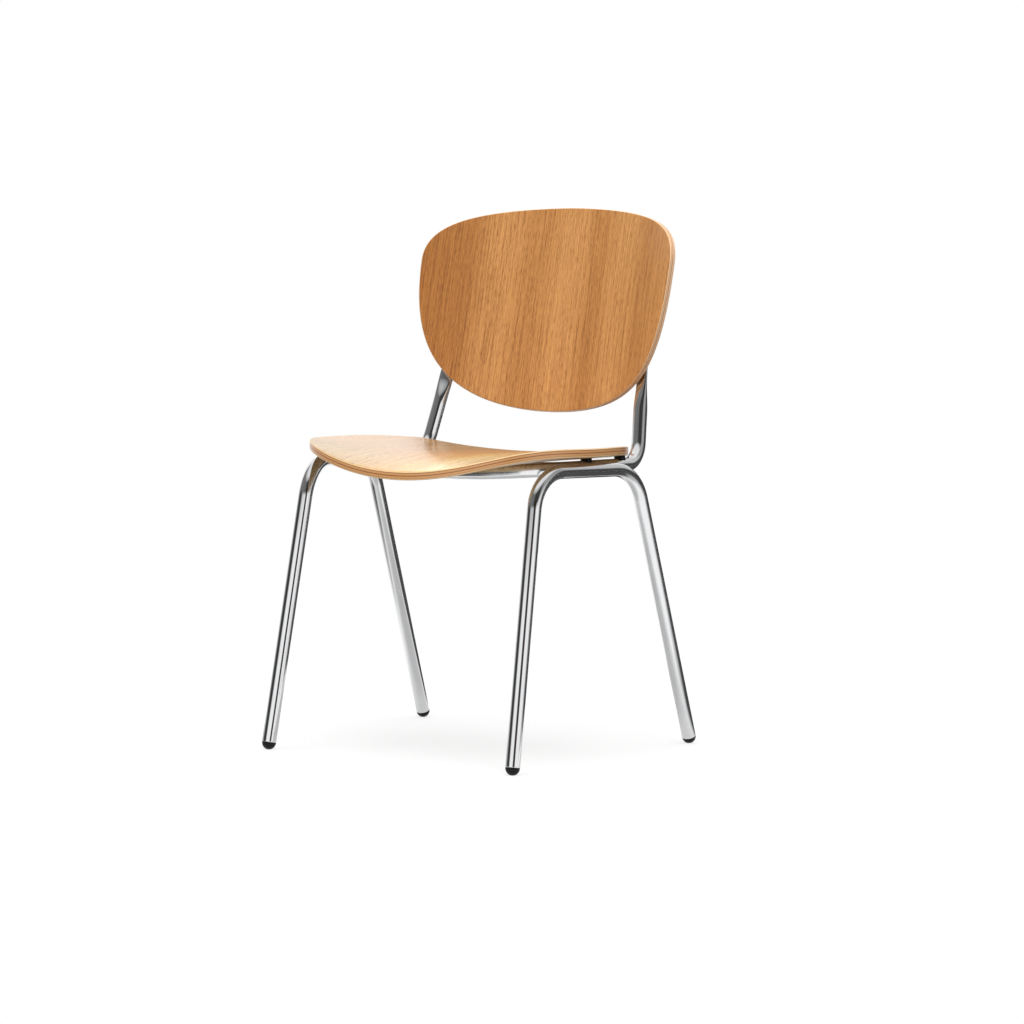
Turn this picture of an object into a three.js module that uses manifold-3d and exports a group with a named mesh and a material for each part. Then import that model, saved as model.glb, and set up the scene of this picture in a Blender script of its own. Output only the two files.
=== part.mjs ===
// A stacking chair: a moulded plywood seat and backrest on a frame of bent steel tube.
// Units are millimetres. +Z is up, the sitter faces -Y, and +X is the sitter's left.
// The origin is on the floor, in the middle of the chair's plan.
import * as THREE from 'three';
import { mergeVertices } from 'three/addons/utils/BufferGeometryUtils.js';
import Module from 'manifold-3d';

const wasm = await Module();
wasm.setup();

// Clearances
const touchGap = 0.3; // between two pieces that rest on each other
const memberClearance = 1.5; // between the seat's underside and the tubes that cross below it

// Tube stock
const tubeDiameter = 20;
const tubeWall = 1.5;
const tieDiameter = 16;
const tieWall = 1.5;
const tubeSides = 16;
const bendStep = 12; // degrees between the stations round a bend
const roundSides = 16; // of turned pieces
const smallRoundSides = 12; // of screws and inserts
const socketSides = 6;
const tubeRadius = tubeDiameter / 2;
const boreRadius = tubeRadius - tubeWall;
const stemRadius = boreRadius * Math.cos(Math.PI / tubeSides) - touchGap; // of what plugs into a tube

// Seat
const seatThickness = 12;
const seatRearY = 109.2;
const seatDepth = 336.4;
const seatHalfWidth = 217.8;
const seatRearNarrowing = 45.9; // of the rear corners, against the widest line
const seatWidestSetback = 150.8; // of the widest line, from the rear edge
const seatSideHandle = 0.736; // how far the outline keeps straight on, as shares of the quarter
const seatFrontHandle = 0.742;
const seatCornerCut = 7;
const seatRise = 4.6; // from the rear edge forwards, along the middle
const seatDrop = 22.5; // of the rolled front edge
const seatDropStart = 0.4; // share of the depth
const seatDropPower = 2.2;
const dishSpan = 200; // half width at which the dish is measured
const dishRear = 16.7;
const dishFade = 8;
const dishFront = 32.9;

// Side frames: one bent tube each, with a front leg, a rail and a rear leg
const railDrop = 1.5; // from the runs below the seat to the rails, between centre lines
const railFrontInset = 31.4; // of the rail's front corner, from the seat's side
const railFrontSetback = 62.2; // and from its front edge
const railRearOutset = 4.1; // of the rail's rear corner, from the seat's side
const railRearSetback = 68.7; // and from its rear edge
const frontLegSplay = 13.6; // sideways, from rail to foot
const frontLegRake = 71; // forwards
const rearLegSplay = 7.1;
const rearLegRake = 165.5; // backwards
const frontBendRadius = 60;
const rearBendRadius = 70;

// Seat and back tube: uprights, L-bends, runs below the seat and a bowed front member
const seatFrameHeight = 404.5; // centre line of the runs below the seat
const uprightSetback = 14.2; // from the seat's rear edge to the foot of the uprights
const uprightInset = 37.5; // from the seat's side
const uprightLeanBack = 15.7; // degrees
const uprightLeanIn = 7.2; // degrees
const uprightBendRadius = 43;
const flatThickness = 5.2; // of the uprights where they are pressed flat behind the backrest
const flatWidth = 21.2;
const pressStart = 72; // height above the seat frame at which the pressing starts
const pressLength = 48; // over which the tube goes from round to flat
const pressSteps = 5;
const pressCorner = 3; // how soon the flats end: the tube's ends turn over 1 / pressCorner
const frontMemberSetback = 129; // from the seat's front edge
const runInset = 4; // between the side of a rail and the side of the run beside it
const runCornerRadius = 55;
const bowShare = 0.6; // of a bowed member's half span that its bend takes up

// Backrest
const upperFixingHeight = 235; // above the level of the seat frame
const fixingPitch = 85; // from the lower fixings to the upper ones
const uprightReach = 40; // of the uprights above the upper fixings
const backWidestRise = 37.9; // of the backrest's widest line above the upper fixings
const backThickness = 8.6;
const backRadius = 357.3; // of the front face
const backLean = 12.6; // degrees
const backHalfWidth = 224.2; // measured along the curve
const backTopReach = 95.9;
const backBottomReach = 209.8;
const backTopSideHandle = 0.891;
const backTopMiddleHandle = 0.21;
const backBottomSideHandle = 0.665;
const backBottomMiddleHandle = 0.755;

const sheetRings = 8; // of points, between the middle and the edge of the seat and of the backrest

// Fixings
const saddleRadius = 8;
const seatSaddleHeight = 3;
const backSaddleHeight = 2.4;
const shankRadius = 2.7;
const holeRadius = 3.3;
const headRadius = 5.5;
const headHeight = 3.2;
const socketRadius = 2.2;
const socketDepth = 2;
const insertRadius = 4.5;
const seatInsertLength = 8;
const backInsertLength = 5.2;
const seatFixingRearSetback = 47; // from the foot of the uprights
const seatFixingFrontSetback = 84; // from the front member

// Ties, glides and plugs
const rearTieSetback = 74.4; // from the seat's rear edge
const spacerDiameter = 12;
const frontSpacerSetback = 60; // from the front member
const rearSpacerSetback = 98;
const glideFlatRadius = 3;
const glideCollar = 0.6;
const glideStem = 18;
const plugDome = 2;
const plugCollar = 1;
const plugStem = 14;
const stemChamfer = 1;

// Places that follow from the sizes
const seatFrontY = seatRearY - seatDepth;
const seatRearHalfWidth = seatHalfWidth - seatRearNarrowing;
const seatWidestY = seatRearY - seatWidestSetback;
const railHeight = seatFrameHeight - railDrop;
const railFrontX = seatHalfWidth - railFrontInset;
const railFrontY = seatFrontY + railFrontSetback;
const railRearX = seatHalfWidth + railRearOutset;
const railRearY = seatRearY - railRearSetback;
const frontFootX = railFrontX + frontLegSplay;
const frontFootY = railFrontY - frontLegRake;
const rearFootX = railRearX + rearLegSplay;
const rearFootY = railRearY + rearLegRake;
const uprightFootX = seatHalfWidth - uprightInset;
const uprightFootY = seatRearY + uprightSetback;
const uprightHeight = upperFixingHeight + uprightReach;
const lowerFixingHeight = upperFixingHeight - fixingPitch;
const backWidestHeight = upperFixingHeight + backWidestRise;
const frontMemberY = seatFrontY + frontMemberSetback;
const rearTieY = seatRearY - rearTieSetback;
const seatFixingRearY = uprightFootY - seatFixingRearSetback;
const seatFixingFrontY = frontMemberY + seatFixingFrontSetback;

const radians = THREE.MathUtils.degToRad;
const sides = [['left', 1], ['right', -1]];
const vector = (x, y, z) => new THREE.Vector3(x, y, z);
const flatPoint = (x, y) => new THREE.Vector2(x, y);
const mirrored = ({ x, y, z }, side) => vector(side * x, y, z);
const bezier = (...points) => new THREE.CubicBezierCurve(...points);

const material = (color, roughness, metalness) =>
  new THREE.MeshStandardMaterial({ color, roughness, metalness });
const chrome = material(0xc8cacf, 0.08, 1);
const zincSteel = material(0x9a9c9f, 0.35, 1);
const oak = material(0xd9a469, 0.38, 0);
const blackPlastic = material(0x161616, 0.5, 0);

const chair = new THREE.Group();
chair.name = 'stacking_chair';

function addPiece(name, geometry, finish) {
  const mesh = new THREE.Mesh(geometry, finish);
  mesh.name = name;
  chair.add(mesh);
  return mesh;
}

// ---- Solids -------------------------------------------------------------------------

function solidOf(geometry) {
  const bare = geometry.clone();
  bare.deleteAttribute('normal');
  bare.deleteAttribute('uv');
  const merged = mergeVertices(bare, 1e-4);
  const triangles = [];
  for (let i = 0; i < merged.index.count; i += 3) {
    const [a, b, c] = [0, 1, 2].map((k) => merged.index.getX(i + k));
    if (a !== b && b !== c && c !== a) triangles.push(a, b, c);
  }
  return new wasm.Manifold(new wasm.Mesh({
    numProp: 3,
    vertProperties: new Float32Array(merged.attributes.position.array),
    triVerts: new Uint32Array(triangles),
  }));
}

function geometryOf(solid) {
  const { vertProperties, triVerts } = solid.getMesh();
  const geometry = new THREE.BufferGeometry();
  geometry.setAttribute('position', new THREE.BufferAttribute(vertProperties, 3));
  geometry.setIndex(new THREE.BufferAttribute(triVerts, 1));
  geometry.computeVertexNormals();
  return geometry;
}

function cut(geometry, ...tools) {
  return geometryOf(tools.reduce((solid, tool) => solid.subtract(solidOf(tool)), solidOf(geometry)));
}

// A solid turned about +Z from [radius, height] points that run upwards on its outside.
function turned(profile, segments = roundSides) {
  const points = profile.map(([radius, height]) => flatPoint(radius, height));
  return new THREE.LatheGeometry(points, segments).rotateX(Math.PI / 2);
}

function rod(radius, bottom, top, segments = roundSides) {
  return turned([[0, bottom], [radius, bottom], [radius, top], [0, top]], segments);
}

function sleeve(outer, inner, bottom, top, segments = roundSides) {
  const profile = [[outer, bottom], [outer, top], [inner, top], [inner, bottom], [outer, bottom]];
  return turned(profile, segments);
}

// [radius, height] points from the pole of a dome out to its rim.
function dome(radius, height, rim, steps) {
  return Array.from({ length: steps + 1 }, (_, i) => {
    const angle = (Math.PI / 2) * (i / steps);
    return [radius * Math.sin(angle), rim - height * Math.cos(angle)];
  });
}

// Moves a geometry made about +Z so that its origin is at a point and its +Z along a direction.
function standing(geometry, origin, direction) {
  const turn = new THREE.Quaternion().setFromUnitVectors(vector(0, 0, 1), direction);
  return geometry.applyQuaternion(turn).translate(origin.x, origin.y, origin.z);
}

// ---- Bent tube ----------------------------------------------------------------------

// The centre line of a bent tube: straight between its bends, with a station at each end of a
// straight and every few degrees round a bend.
class TubePath extends THREE.Curve {
  constructor(corners, bendRadii) {
    super();
    this.points = [corners[0]];
    this.tangents = [corners[1].clone().sub(corners[0]).normalize()];
    bendRadii.forEach((radius, i) => this.addBend(corners.slice(i, i + 3), radius));
    const last = corners.length - 1;
    this.points.push(corners[last]);
    this.tangents.push(corners[last].clone().sub(corners[last - 1]).normalize());
  }

  // Adds stations along the first and the last straight, at distances from the path's two ends.
  addEndStations(distances) {
    const [first, last] = [0, this.steps];
    const [from, to] = [this.points[first], this.points[last]];
    const [fromWay, toWay] = [this.tangents[first], this.tangents[last]];
    const early = distances.map((d) => from.clone().addScaledVector(fromWay, d));
    const late = distances.map((d) => to.clone().addScaledVector(toWay, -d)).reverse();
    this.points.splice(last, 0, ...late);
    this.tangents.splice(last, 0, ...late.map(() => toWay.clone()));
    this.points.splice(1, 0, ...early);
    this.tangents.splice(1, 0, ...early.map(() => fromWay.clone()));
  }

  addBend([before, corner, after], radius) {
    const incoming = corner.clone().sub(before).normalize();
    const outgoing = after.clone().sub(corner).normalize();
    const angle = incoming.angleTo(outgoing);
    const inward = outgoing.clone().addScaledVector(incoming, -Math.cos(angle)).normalize();
    const start = corner.clone().addScaledVector(incoming, -radius * Math.tan(angle / 2));
    const centre = start.clone().addScaledVector(inward, radius);
    const steps = Math.max(3, Math.ceil(angle / radians(bendStep)));
    for (let i = 0; i <= steps; i += 1) {
      const turn = (angle * i) / steps;
      this.points.push(centre.clone()
        .addScaledVector(inward, -radius * Math.cos(turn))
        .addScaledVector(incoming, radius * Math.sin(turn)));
      this.tangents.push(incoming.clone().multiplyScalar(Math.cos(turn))
        .addScaledVector(inward, Math.sin(turn)));
    }
  }

  get steps() {
    return this.points.length - 1;
  }

  getPoint(t, target = new THREE.Vector3()) {
    return target.copy(this.points[Math.round(t * this.steps)]);
  }

  getPointAt(u, target) {
    return this.getPoint(u, target);
  }

  getTangent(t, target = new THREE.Vector3()) {
    return target.copy(this.tangents[Math.round(t * this.steps)]);
  }

  getTangentAt(u, target) {
    return this.getTangent(u, target);
  }
}

function circle(radius, count) {
  return Array.from({ length: count }, (_, i) => {
    const angle = (2 * Math.PI * i) / count;
    return flatPoint(radius * Math.cos(angle), radius * Math.sin(angle));
  });
}

function sweep(path, radius, innerRadius = 0) {
  const section = new THREE.Shape(circle(radius, tubeSides));
  if (innerRadius > 0) section.holes.push(new THREE.Path(circle(innerRadius, tubeSides)));
  const options = { steps: path.steps, extrudePath: path, bevelEnabled: false };
  return new THREE.ExtrudeGeometry(section, options);
}

// The space that a tube needs round it, for cutting what meets it.
const tubeSpace = (path) => sweep(path, tubeRadius + touchGap);

function moveVertices(geometry, move) {
  const position = geometry.attributes.position;
  const point = vector(0, 0, 0);
  for (let i = 0; i < position.count; i += 1) {
    move(point.fromBufferAttribute(position, i));
    position.setXYZ(i, point.x, point.y, point.z);
  }
  return geometry;
}

// ---- Seat surface -------------------------------------------------------------------

// Height of the seat's upper face over the middle of its rear edge: it rises gently, rolls down
// at the front, and curves up towards the sides as a dish.
function seatForm(x, y) {
  const share = (seatRearY - y) / seatDepth;
  const roll = Math.max(0, (share - seatDropStart) / (1 - seatDropStart)) ** seatDropPower;
  const dish = dishRear - dishFade * share + dishFront * roll;
  return seatRise * share - seatDrop * roll + dish * (x / dishSpan) ** 2;
}

function seatNormal(x, y) {
  const step = 0.5;
  const slopeX = (seatForm(x + step, y) - seatForm(x - step, y)) / (2 * step);
  const slopeY = (seatForm(x, y + step) - seatForm(x, y - step)) / (2 * step);
  return vector(-slopeX, -slopeY, 1).normalize();
}

const railX = (y) => THREE.MathUtils.mapLinear(y, railFrontY, railRearY, railFrontX, railRearX);
const runFrontX = railX(frontMemberY) - tubeDiameter - runInset;
const runX = (y) => THREE.MathUtils.mapLinear(y, frontMemberY, uprightFootY, runFrontX, uprightFootX);
const runPoint = (y) => vector(runX(y), y, seatFrameHeight);

// The seat stands on its rear saddles, and this sets its height.
const rearFixing = runPoint(seatFixingRearY);
const rearFixingTilt = seatNormal(rearFixing.x, rearFixing.y).z;
const seatLevel = seatFrameHeight - seatForm(rearFixing.x, rearFixing.y)
  + (tubeRadius + seatSaddleHeight + seatThickness) / rearFixingTilt;
const seatHeight = (x, y) => seatLevel + seatForm(x, y);

// A sheet of plywood: rings of points between its middle and its outline, laid on both faces.
// place(u, v, depth) gives the point at a depth below the upper or front face.
function bentSheet(outline, middle, thickness, place) {
  const shares = Array.from({ length: sheetRings + 1 }, (_, i) => i / sheetRings);
  const lower = shares.map((share) => flatPoint(share, -1));
  const upper = shares.map((share) => flatPoint(share, 1)).reverse();
  const geometry = new THREE.LatheGeometry([...lower, ...upper], outline.length);
  const position = geometry.attributes.position;
  for (let i = 0; i < position.count; i += 1) {
    const [x, y, z] = [position.getX(i), position.getY(i), position.getZ(i)];
    const share = Math.hypot(x, z);
    const turn = Math.round((Math.atan2(x, z) / (2 * Math.PI)) * outline.length);
    const edge = outline[(turn + outline.length) % outline.length];
    const u = middle.x + share * (edge.x - middle.x);
    const v = middle.y + share * (edge.y - middle.y);
    position.setXYZ(i, ...place(u, v, y > 0 ? 0 : thickness));
  }
  return geometry;
}

// A whole outline from the curves of its left half, drawn round from the front or the bottom.
// Each curve is given with the number of parts it is divided into.
function fullOutline(curves) {
  const half = curves.flatMap(([curve, parts], i) => curve.getPoints(parts).slice(i > 0 ? 1 : 0));
  const mirror = half.slice(1, -1).reverse().map(({ x, y }) => flatPoint(-x, y));
  return [...half, ...mirror];
}

function seatOutline() {
  const handleX = seatFrontHandle * seatHalfWidth;
  const handleY = seatWidestY + seatSideHandle * (seatFrontY - seatWidestY);
  const front = flatPoint(0, seatFrontY);
  const widest = flatPoint(seatHalfWidth, seatWidestY);
  const sideHandle = flatPoint(seatHalfWidth, (seatWidestY + seatRearY) / 2);
  const corner = flatPoint(seatRearHalfWidth, seatRearY);
  const beforeCorner = sideHandle.clone().sub(corner).setLength(seatCornerCut).add(corner);
  const afterCorner = flatPoint(seatRearHalfWidth - seatCornerCut, seatRearY);
  return fullOutline([
    [bezier(front, flatPoint(handleX, seatFrontY), flatPoint(seatHalfWidth, handleY), widest), 14],
    [new THREE.QuadraticBezierCurve(widest, sideHandle, beforeCorner), 7],
    [new THREE.QuadraticBezierCurve(beforeCorner, corner, afterCorner), 3],
    [new THREE.LineCurve(afterCorner, flatPoint(0, seatRearY)), 5],
  ]);
}

// The seat's edge is cut upright, so a depth through the sheet is measured straight down.
const placeOnSeat = (x, y, depth) => [x, y, seatHeight(x, y) - depth / seatNormal(x, y).z];

// ---- Seat and back tube -------------------------------------------------------------

const uprightSlope = vector(-Math.tan(radians(uprightLeanIn)), Math.tan(radians(uprightLeanBack)), 1);
const uprightFoot = vector(uprightFootX, uprightFootY, seatFrameHeight);
const uprightPoint = (height) => uprightFoot.clone().addScaledVector(uprightSlope, height);

// A member that bows down between the runs, its top just clear of the seat at its middle.
function bow(y, halfSpan, radius) {
  const underside = seatHeight(0, y) - seatThickness / seatNormal(0, y).z;
  const sag = seatFrameHeight - (underside - memberClearance - radius);
  const cornerDrop = sag / (1 - bowShare / 2);
  const middle = vector(0, y, seatFrameHeight - cornerDrop);
  return { middle, bendRadius: (bowShare * halfSpan ** 2) / cornerDrop };
}

const uprightTop = uprightPoint(uprightHeight);
const runFront = runPoint(frontMemberY);
const frontBow = bow(frontMemberY, runFrontX, tubeRadius);
const seatBackPath = new TubePath(
  [
    uprightTop, uprightFoot, runFront, frontBow.middle,
    mirrored(runFront, -1), mirrored(uprightFoot, -1), mirrored(uprightTop, -1),
  ],
  [uprightBendRadius, runCornerRadius, frontBow.bendRadius, runCornerRadius, uprightBendRadius],
);

const pressHeights = Array.from({ length: pressSteps + 1 }, (_, i) =>
  pressStart + pressLength * (1 - i / pressSteps));
const uprightStretch = uprightSlope.length(); // along the tube, for each millimetre of height
seatBackPath.addEndStations(pressHeights.map((h) => (uprightHeight - h) * uprightStretch));

// ---- Backrest surface ---------------------------------------------------------------

const lean = radians(backLean);
const backUp = vector(0, Math.sin(lean), Math.cos(lean));
const backForward = vector(0, -Math.cos(lean), Math.sin(lean));

// The front face is part of a cylinder whose rear side just clears the upper pair of saddles.
const upperFixing = uprightPoint(upperFixingHeight);
const saddleReach = backRadius + backThickness + backSaddleHeight + flatThickness / 2;
const backMiddle = vector(0, 0, seatFrameHeight + backWidestHeight);
const fixingDepth = backRadius - Math.sqrt(saddleReach ** 2 - upperFixing.x ** 2);
backMiddle.y = upperFixing.y
  - (fixingDepth - (upperFixing.z - backMiddle.z) * backForward.z) / backForward.y;
const backAxisPoint = backMiddle.clone().addScaledVector(backForward, backRadius);

function placeOnBack(u, v, depth) {
  const turn = u / backRadius;
  const reach = backRadius + depth;
  const spot = backAxisPoint.clone()
    .addScaledVector(backUp, v)
    .addScaledVector(backForward, -reach * Math.cos(turn));
  return [reach * Math.sin(turn), spot.y, spot.z];
}

function backOutline() {
  const topSide = backTopSideHandle * backTopReach;
  const topMiddle = backTopMiddleHandle * backHalfWidth;
  const bottomSide = backBottomSideHandle * backBottomReach;
  const bottomMiddle = backBottomMiddleHandle * backHalfWidth;
  const bottom = flatPoint(0, -backBottomReach);
  const widest = flatPoint(backHalfWidth, 0);
  const top = flatPoint(0, backTopReach);
  return fullOutline([
    [bezier(bottom, flatPoint(bottomMiddle, bottom.y), flatPoint(widest.x, -bottomSide), widest), 14],
    [bezier(widest, flatPoint(widest.x, topSide), flatPoint(topMiddle, top.y), top), 14],
  ]);
}

// From a point of an upright square to the backrest.
function towardBack(origin) {
  const toAxis = backAxisPoint.clone().sub(origin);
  return toAxis.addScaledVector(backUp, -toAxis.dot(backUp));
}

// ---- Pressed uprights ---------------------------------------------------------------

// Behind the backrest each upright is drawn down and pressed flat, square to the backrest. Its
// section goes from a circle to two flats with round ends.
const flatHalf = flatThickness / 2;
const flatReach = flatWidth / 2 - flatHalf; // from the middle to a round end's centre
const pressAlong = uprightSlope.clone().normalize();
const pressToward = towardBack(upperFixing)
  .addScaledVector(pressAlong, -towardBack(upperFixing).dot(pressAlong))
  .normalize();
const pressAcross = pressToward.clone().cross(pressAlong);

// Where the offset [across, toward] from the centre line of a round tube goes in a pressed one.
function pressedOffset(across, toward, share) {
  const radius = Math.hypot(across, toward);
  if (radius < 1e-6) return [across, toward];
  const [c, s] = [across / radius, toward / radius];
  const core = Math.min(1, radius / stemRadius);
  const half = (flatHalf - tubeRadius + Math.max(radius, stemRadius)) * core;
  const end = flatReach * core * THREE.MathUtils.clamp(pressCorner * c, -1, 1);
  const { lerp } = THREE.MathUtils;
  return [lerp(across, end + half * c, share), lerp(toward, half * s, share)];
}

function pressUprights(geometry) {
  return moveVertices(geometry, (point) => {
    const side = point.x < 0 ? -1 : 1;
    const offset = mirrored(point, side).sub(uprightFoot);
    const along = offset.dot(pressAlong);
    const height = along * pressAlong.z;
    const share = THREE.MathUtils.smoothstep(height, pressStart, pressStart + pressLength);
    if (share === 0) return;
    const moved = pressedOffset(offset.dot(pressAcross), offset.dot(pressToward), share);
    const spot = uprightFoot.clone().addScaledVector(pressAlong, along)
      .addScaledVector(pressAcross, moved[0]).addScaledVector(pressToward, moved[1]);
    point.copy(mirrored(spot, side));
  });
}

const seatBackSpace = () => pressUprights(tubeSpace(seatBackPath));

// ---- Fixings ------------------------------------------------------------------------

// Each fixing has its origin on a tube's centre line and looks along the screw at the plywood,
// whose face is at the given distance. Its head bears on the tube's far side.
function seatFixing(y, side) {
  const origin = mirrored(runPoint(y), side);
  const direction = seatNormal(origin.x, origin.y);
  const depth = (seatHeight(origin.x, origin.y) - origin.z) * direction.z;
  const distance = depth - seatThickness;
  return { origin, direction, distance, insertLength: seatInsertLength, bearing: tubeRadius };
}

function backFixing(height, side) {
  const origin = mirrored(uprightPoint(height), side);
  const toAxis = towardBack(origin);
  const distance = toAxis.length() - backRadius - backThickness;
  const direction = toAxis.normalize();
  return { origin, direction, distance, insertLength: backInsertLength, bearing: flatHalf };
}

const screwHole = ({ origin, direction }) =>
  standing(rod(holeRadius, -2 * tubeRadius, 2 * tubeRadius, smallRoundSides), origin, direction);

function insertHole({ origin, direction, distance, insertLength }) {
  const start = distance - insertLength;
  const end = distance + insertLength + 2 * touchGap;
  return standing(rod(insertRadius + touchGap, start, end), origin, direction);
}

function place(mesh, { origin, direction }) {
  mesh.position.copy(origin);
  mesh.quaternion.setFromUnitVectors(vector(0, 0, 1), direction);
}

// A button head with a hexagon socket on the far side of the tube, and a shank to the insert.
function screwGeometry({ distance, insertLength, bearing }) {
  const headTop = -bearing - touchGap;
  const headFoot = headTop - headHeight;
  const tip = distance + insertLength - touchGap;
  const head = dome(headRadius, headHeight, headTop, 3);
  const profile = [...head, [shankRadius, headTop], [shankRadius, tip], [0, tip]];
  const socket = rod(socketRadius, headFoot - socketDepth, headFoot + socketDepth, socketSides);
  return cut(turned(profile, smallRoundSides), socket);
}

function addFixing({ label, fixing }) {
  const { origin, direction, distance, insertLength } = fixing;
  place(addPiece(`${label}_screw`, screwGeometry(fixing), zincSteel), fixing);
  const bottom = distance + touchGap;
  const bore = shankRadius + touchGap;
  const insert = sleeve(insertRadius, bore, bottom, bottom + insertLength, smallRoundSides);
  place(addPiece(`${label}_insert`, insert, zincSteel), fixing);
  const pad = sleeve(saddleRadius, holeRadius, 0, distance - touchGap);
  const saddle = cut(standing(pad, origin, direction), seatBackSpace());
  addPiece(`${label}_saddle`, saddle, blackPlastic);
}

const fixings = sides.flatMap(([sideName, side]) => [
  { label: `seat_front_${sideName}`, sheet: 'seat', fixing: seatFixing(seatFixingFrontY, side) },
  { label: `seat_rear_${sideName}`, sheet: 'seat', fixing: seatFixing(seatFixingRearY, side) },
  { label: `back_lower_${sideName}`, sheet: 'back', fixing: backFixing(lowerFixingHeight, side) },
  { label: `back_upper_${sideName}`, sheet: 'back', fixing: backFixing(upperFixingHeight, side) },
]);

const insertHoles = (sheet) =>
  fixings.filter((entry) => entry.sheet === sheet).map((entry) => insertHole(entry.fixing));

// ---- Pieces -------------------------------------------------------------------------

const seatMiddle = flatPoint(0, seatWidestY);
const seatSheet = bentSheet(seatOutline(), seatMiddle, seatThickness, placeOnSeat);
addPiece('seat_shell', cut(seatSheet, ...insertHoles('seat')), oak);

const backSheet = bentSheet(backOutline(), flatPoint(0, 0), backThickness, placeOnBack);
addPiece('backrest_shell', cut(backSheet, ...insertHoles('back')), oak);

const screwHoles = fixings.map((entry) => screwHole(entry.fixing));
const pressedTube = pressUprights(sweep(seatBackPath, tubeRadius, boreRadius));
const seatBackTube = cut(pressedTube, ...screwHoles);
addPiece('seat_back_tube', seatBackTube, chrome);

fixings.forEach(addFixing);

// The rear tie: a bowed tube between the runs, coped to fit against them.
const tieEnd = runPoint(rearTieY);
const tieRadius = tieDiameter / 2;
const tieBow = bow(rearTieY, tieEnd.x, tieRadius);
const tiePath = new TubePath([tieEnd, tieBow.middle, mirrored(tieEnd, -1)], [tieBow.bendRadius]);
const tieTube = sweep(tiePath, tieRadius, tieRadius - tieWall);
addPiece('rear_tie_tube', cut(tieTube, seatBackSpace()), chrome);

// Glides: a domed foot with a small flat to stand on, and a stem that plugs into the leg.
const footHeight = Math.sqrt(tubeRadius ** 2 - glideFlatRadius ** 2);

function glideGeometry(centre, direction) {
  const stemTop = glideCollar + glideStem;
  const profile = [
    ...dome(tubeRadius, tubeRadius, 0, 5), [tubeRadius, glideCollar], [stemRadius, glideCollar],
    [stemRadius, stemTop - stemChamfer], [stemRadius - stemChamfer, stemTop], [0, stemTop],
  ];
  const size = 4 * tubeRadius;
  const floor = new THREE.BoxGeometry(size, size, size).translate(centre.x, centre.y, -size / 2);
  return cut(standing(turned(profile), centre, direction), floor);
}

// The plug that closes the top end of an upright, as flat as the tube is there.
function plugGeometry(side) {
  const profile = [
    [0, -plugStem], [stemRadius - stemChamfer, -plugStem], [stemRadius, stemChamfer - plugStem],
    [stemRadius, touchGap], [tubeRadius, touchGap],
    ...dome(tubeRadius, -plugDome, plugCollar, 4).reverse(),
  ];
  const direction = mirrored(uprightSlope, side).normalize();
  return pressUprights(standing(turned(profile), mirrored(uprightTop, side), direction));
}

for (const [sideName, side] of sides) {
  const frontFoot = vector(side * frontFootX, frontFootY, footHeight);
  const rearFoot = vector(side * rearFootX, rearFootY, footHeight);
  const frontCorner = vector(side * railFrontX, railFrontY, railHeight);
  const rearCorner = vector(side * railRearX, railRearY, railHeight);
  const legs = [['front', frontFoot, frontCorner], ['rear', rearFoot, rearCorner]].map(
    ([end, foot, corner]) => ({ end, foot, direction: corner.clone().sub(foot).normalize() }),
  );
  const [frontEnd, rearEnd] = legs.map(({ foot, direction }) =>
    foot.clone().addScaledVector(direction, glideCollar + touchGap));
  const framePath = new TubePath(
    [frontEnd, frontCorner, rearCorner, rearEnd],
    [frontBendRadius, rearBendRadius],
  );
  addPiece(`side_frame_${sideName}`, sweep(framePath, tubeRadius, boreRadius), chrome);

  for (const { end, foot, direction } of legs) {
    addPiece(`glide_${end}_${sideName}`, glideGeometry(foot, direction), blackPlastic);
  }

  // Short bars that join the run below the seat to the rail beside it.
  for (const [end, setback] of [['front', frontSpacerSetback], ['rear', rearSpacerSetback]]) {
    const y = frontMemberY + setback;
    const inner = mirrored(runPoint(y), side);
    const outer = vector(side * railX(y), y, railHeight);
    const across = outer.clone().sub(inner);
    const bar = rod(spacerDiameter / 2, 0, across.length());
    standing(bar, inner, across.normalize());
    const spacer = cut(bar, seatBackSpace(), tubeSpace(framePath));
    addPiece(`frame_spacer_${end}_${sideName}`, spacer, chrome);
  }

  addPiece(`upright_plug_${sideName}`, plugGeometry(side), blackPlastic);
}

export default chair;
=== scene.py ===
"""Dresses a stacking chair: moulded oak plywood seat and backrest on a chromed frame of bent tube.

Shapes are worked out in millimetres and become metres when their mesh is made. +Z is up, the
sitter faces -Y and +X is the sitter's left. Every piece is a surface over two parameters, held
as whole arrays: rows run along the piece, columns run round it.
"""
from math import cos, radians, sin, tan

import bpy
import numpy as np
from mathutils import Matrix, Vector


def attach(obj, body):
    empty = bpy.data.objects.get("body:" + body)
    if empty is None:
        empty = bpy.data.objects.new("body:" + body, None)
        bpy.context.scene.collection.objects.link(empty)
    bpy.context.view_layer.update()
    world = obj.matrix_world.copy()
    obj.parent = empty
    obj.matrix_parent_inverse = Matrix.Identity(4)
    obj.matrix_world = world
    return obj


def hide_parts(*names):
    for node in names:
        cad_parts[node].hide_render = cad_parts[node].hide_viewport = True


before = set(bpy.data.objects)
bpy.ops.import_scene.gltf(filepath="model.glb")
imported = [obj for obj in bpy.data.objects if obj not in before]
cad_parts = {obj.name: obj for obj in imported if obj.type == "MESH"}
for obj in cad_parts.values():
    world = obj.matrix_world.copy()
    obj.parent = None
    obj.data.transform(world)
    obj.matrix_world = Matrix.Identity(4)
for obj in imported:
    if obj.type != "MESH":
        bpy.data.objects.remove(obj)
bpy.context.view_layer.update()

MM = 0.001

# ---- Sizes of the chair ---------------------------------------------------------------

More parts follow.
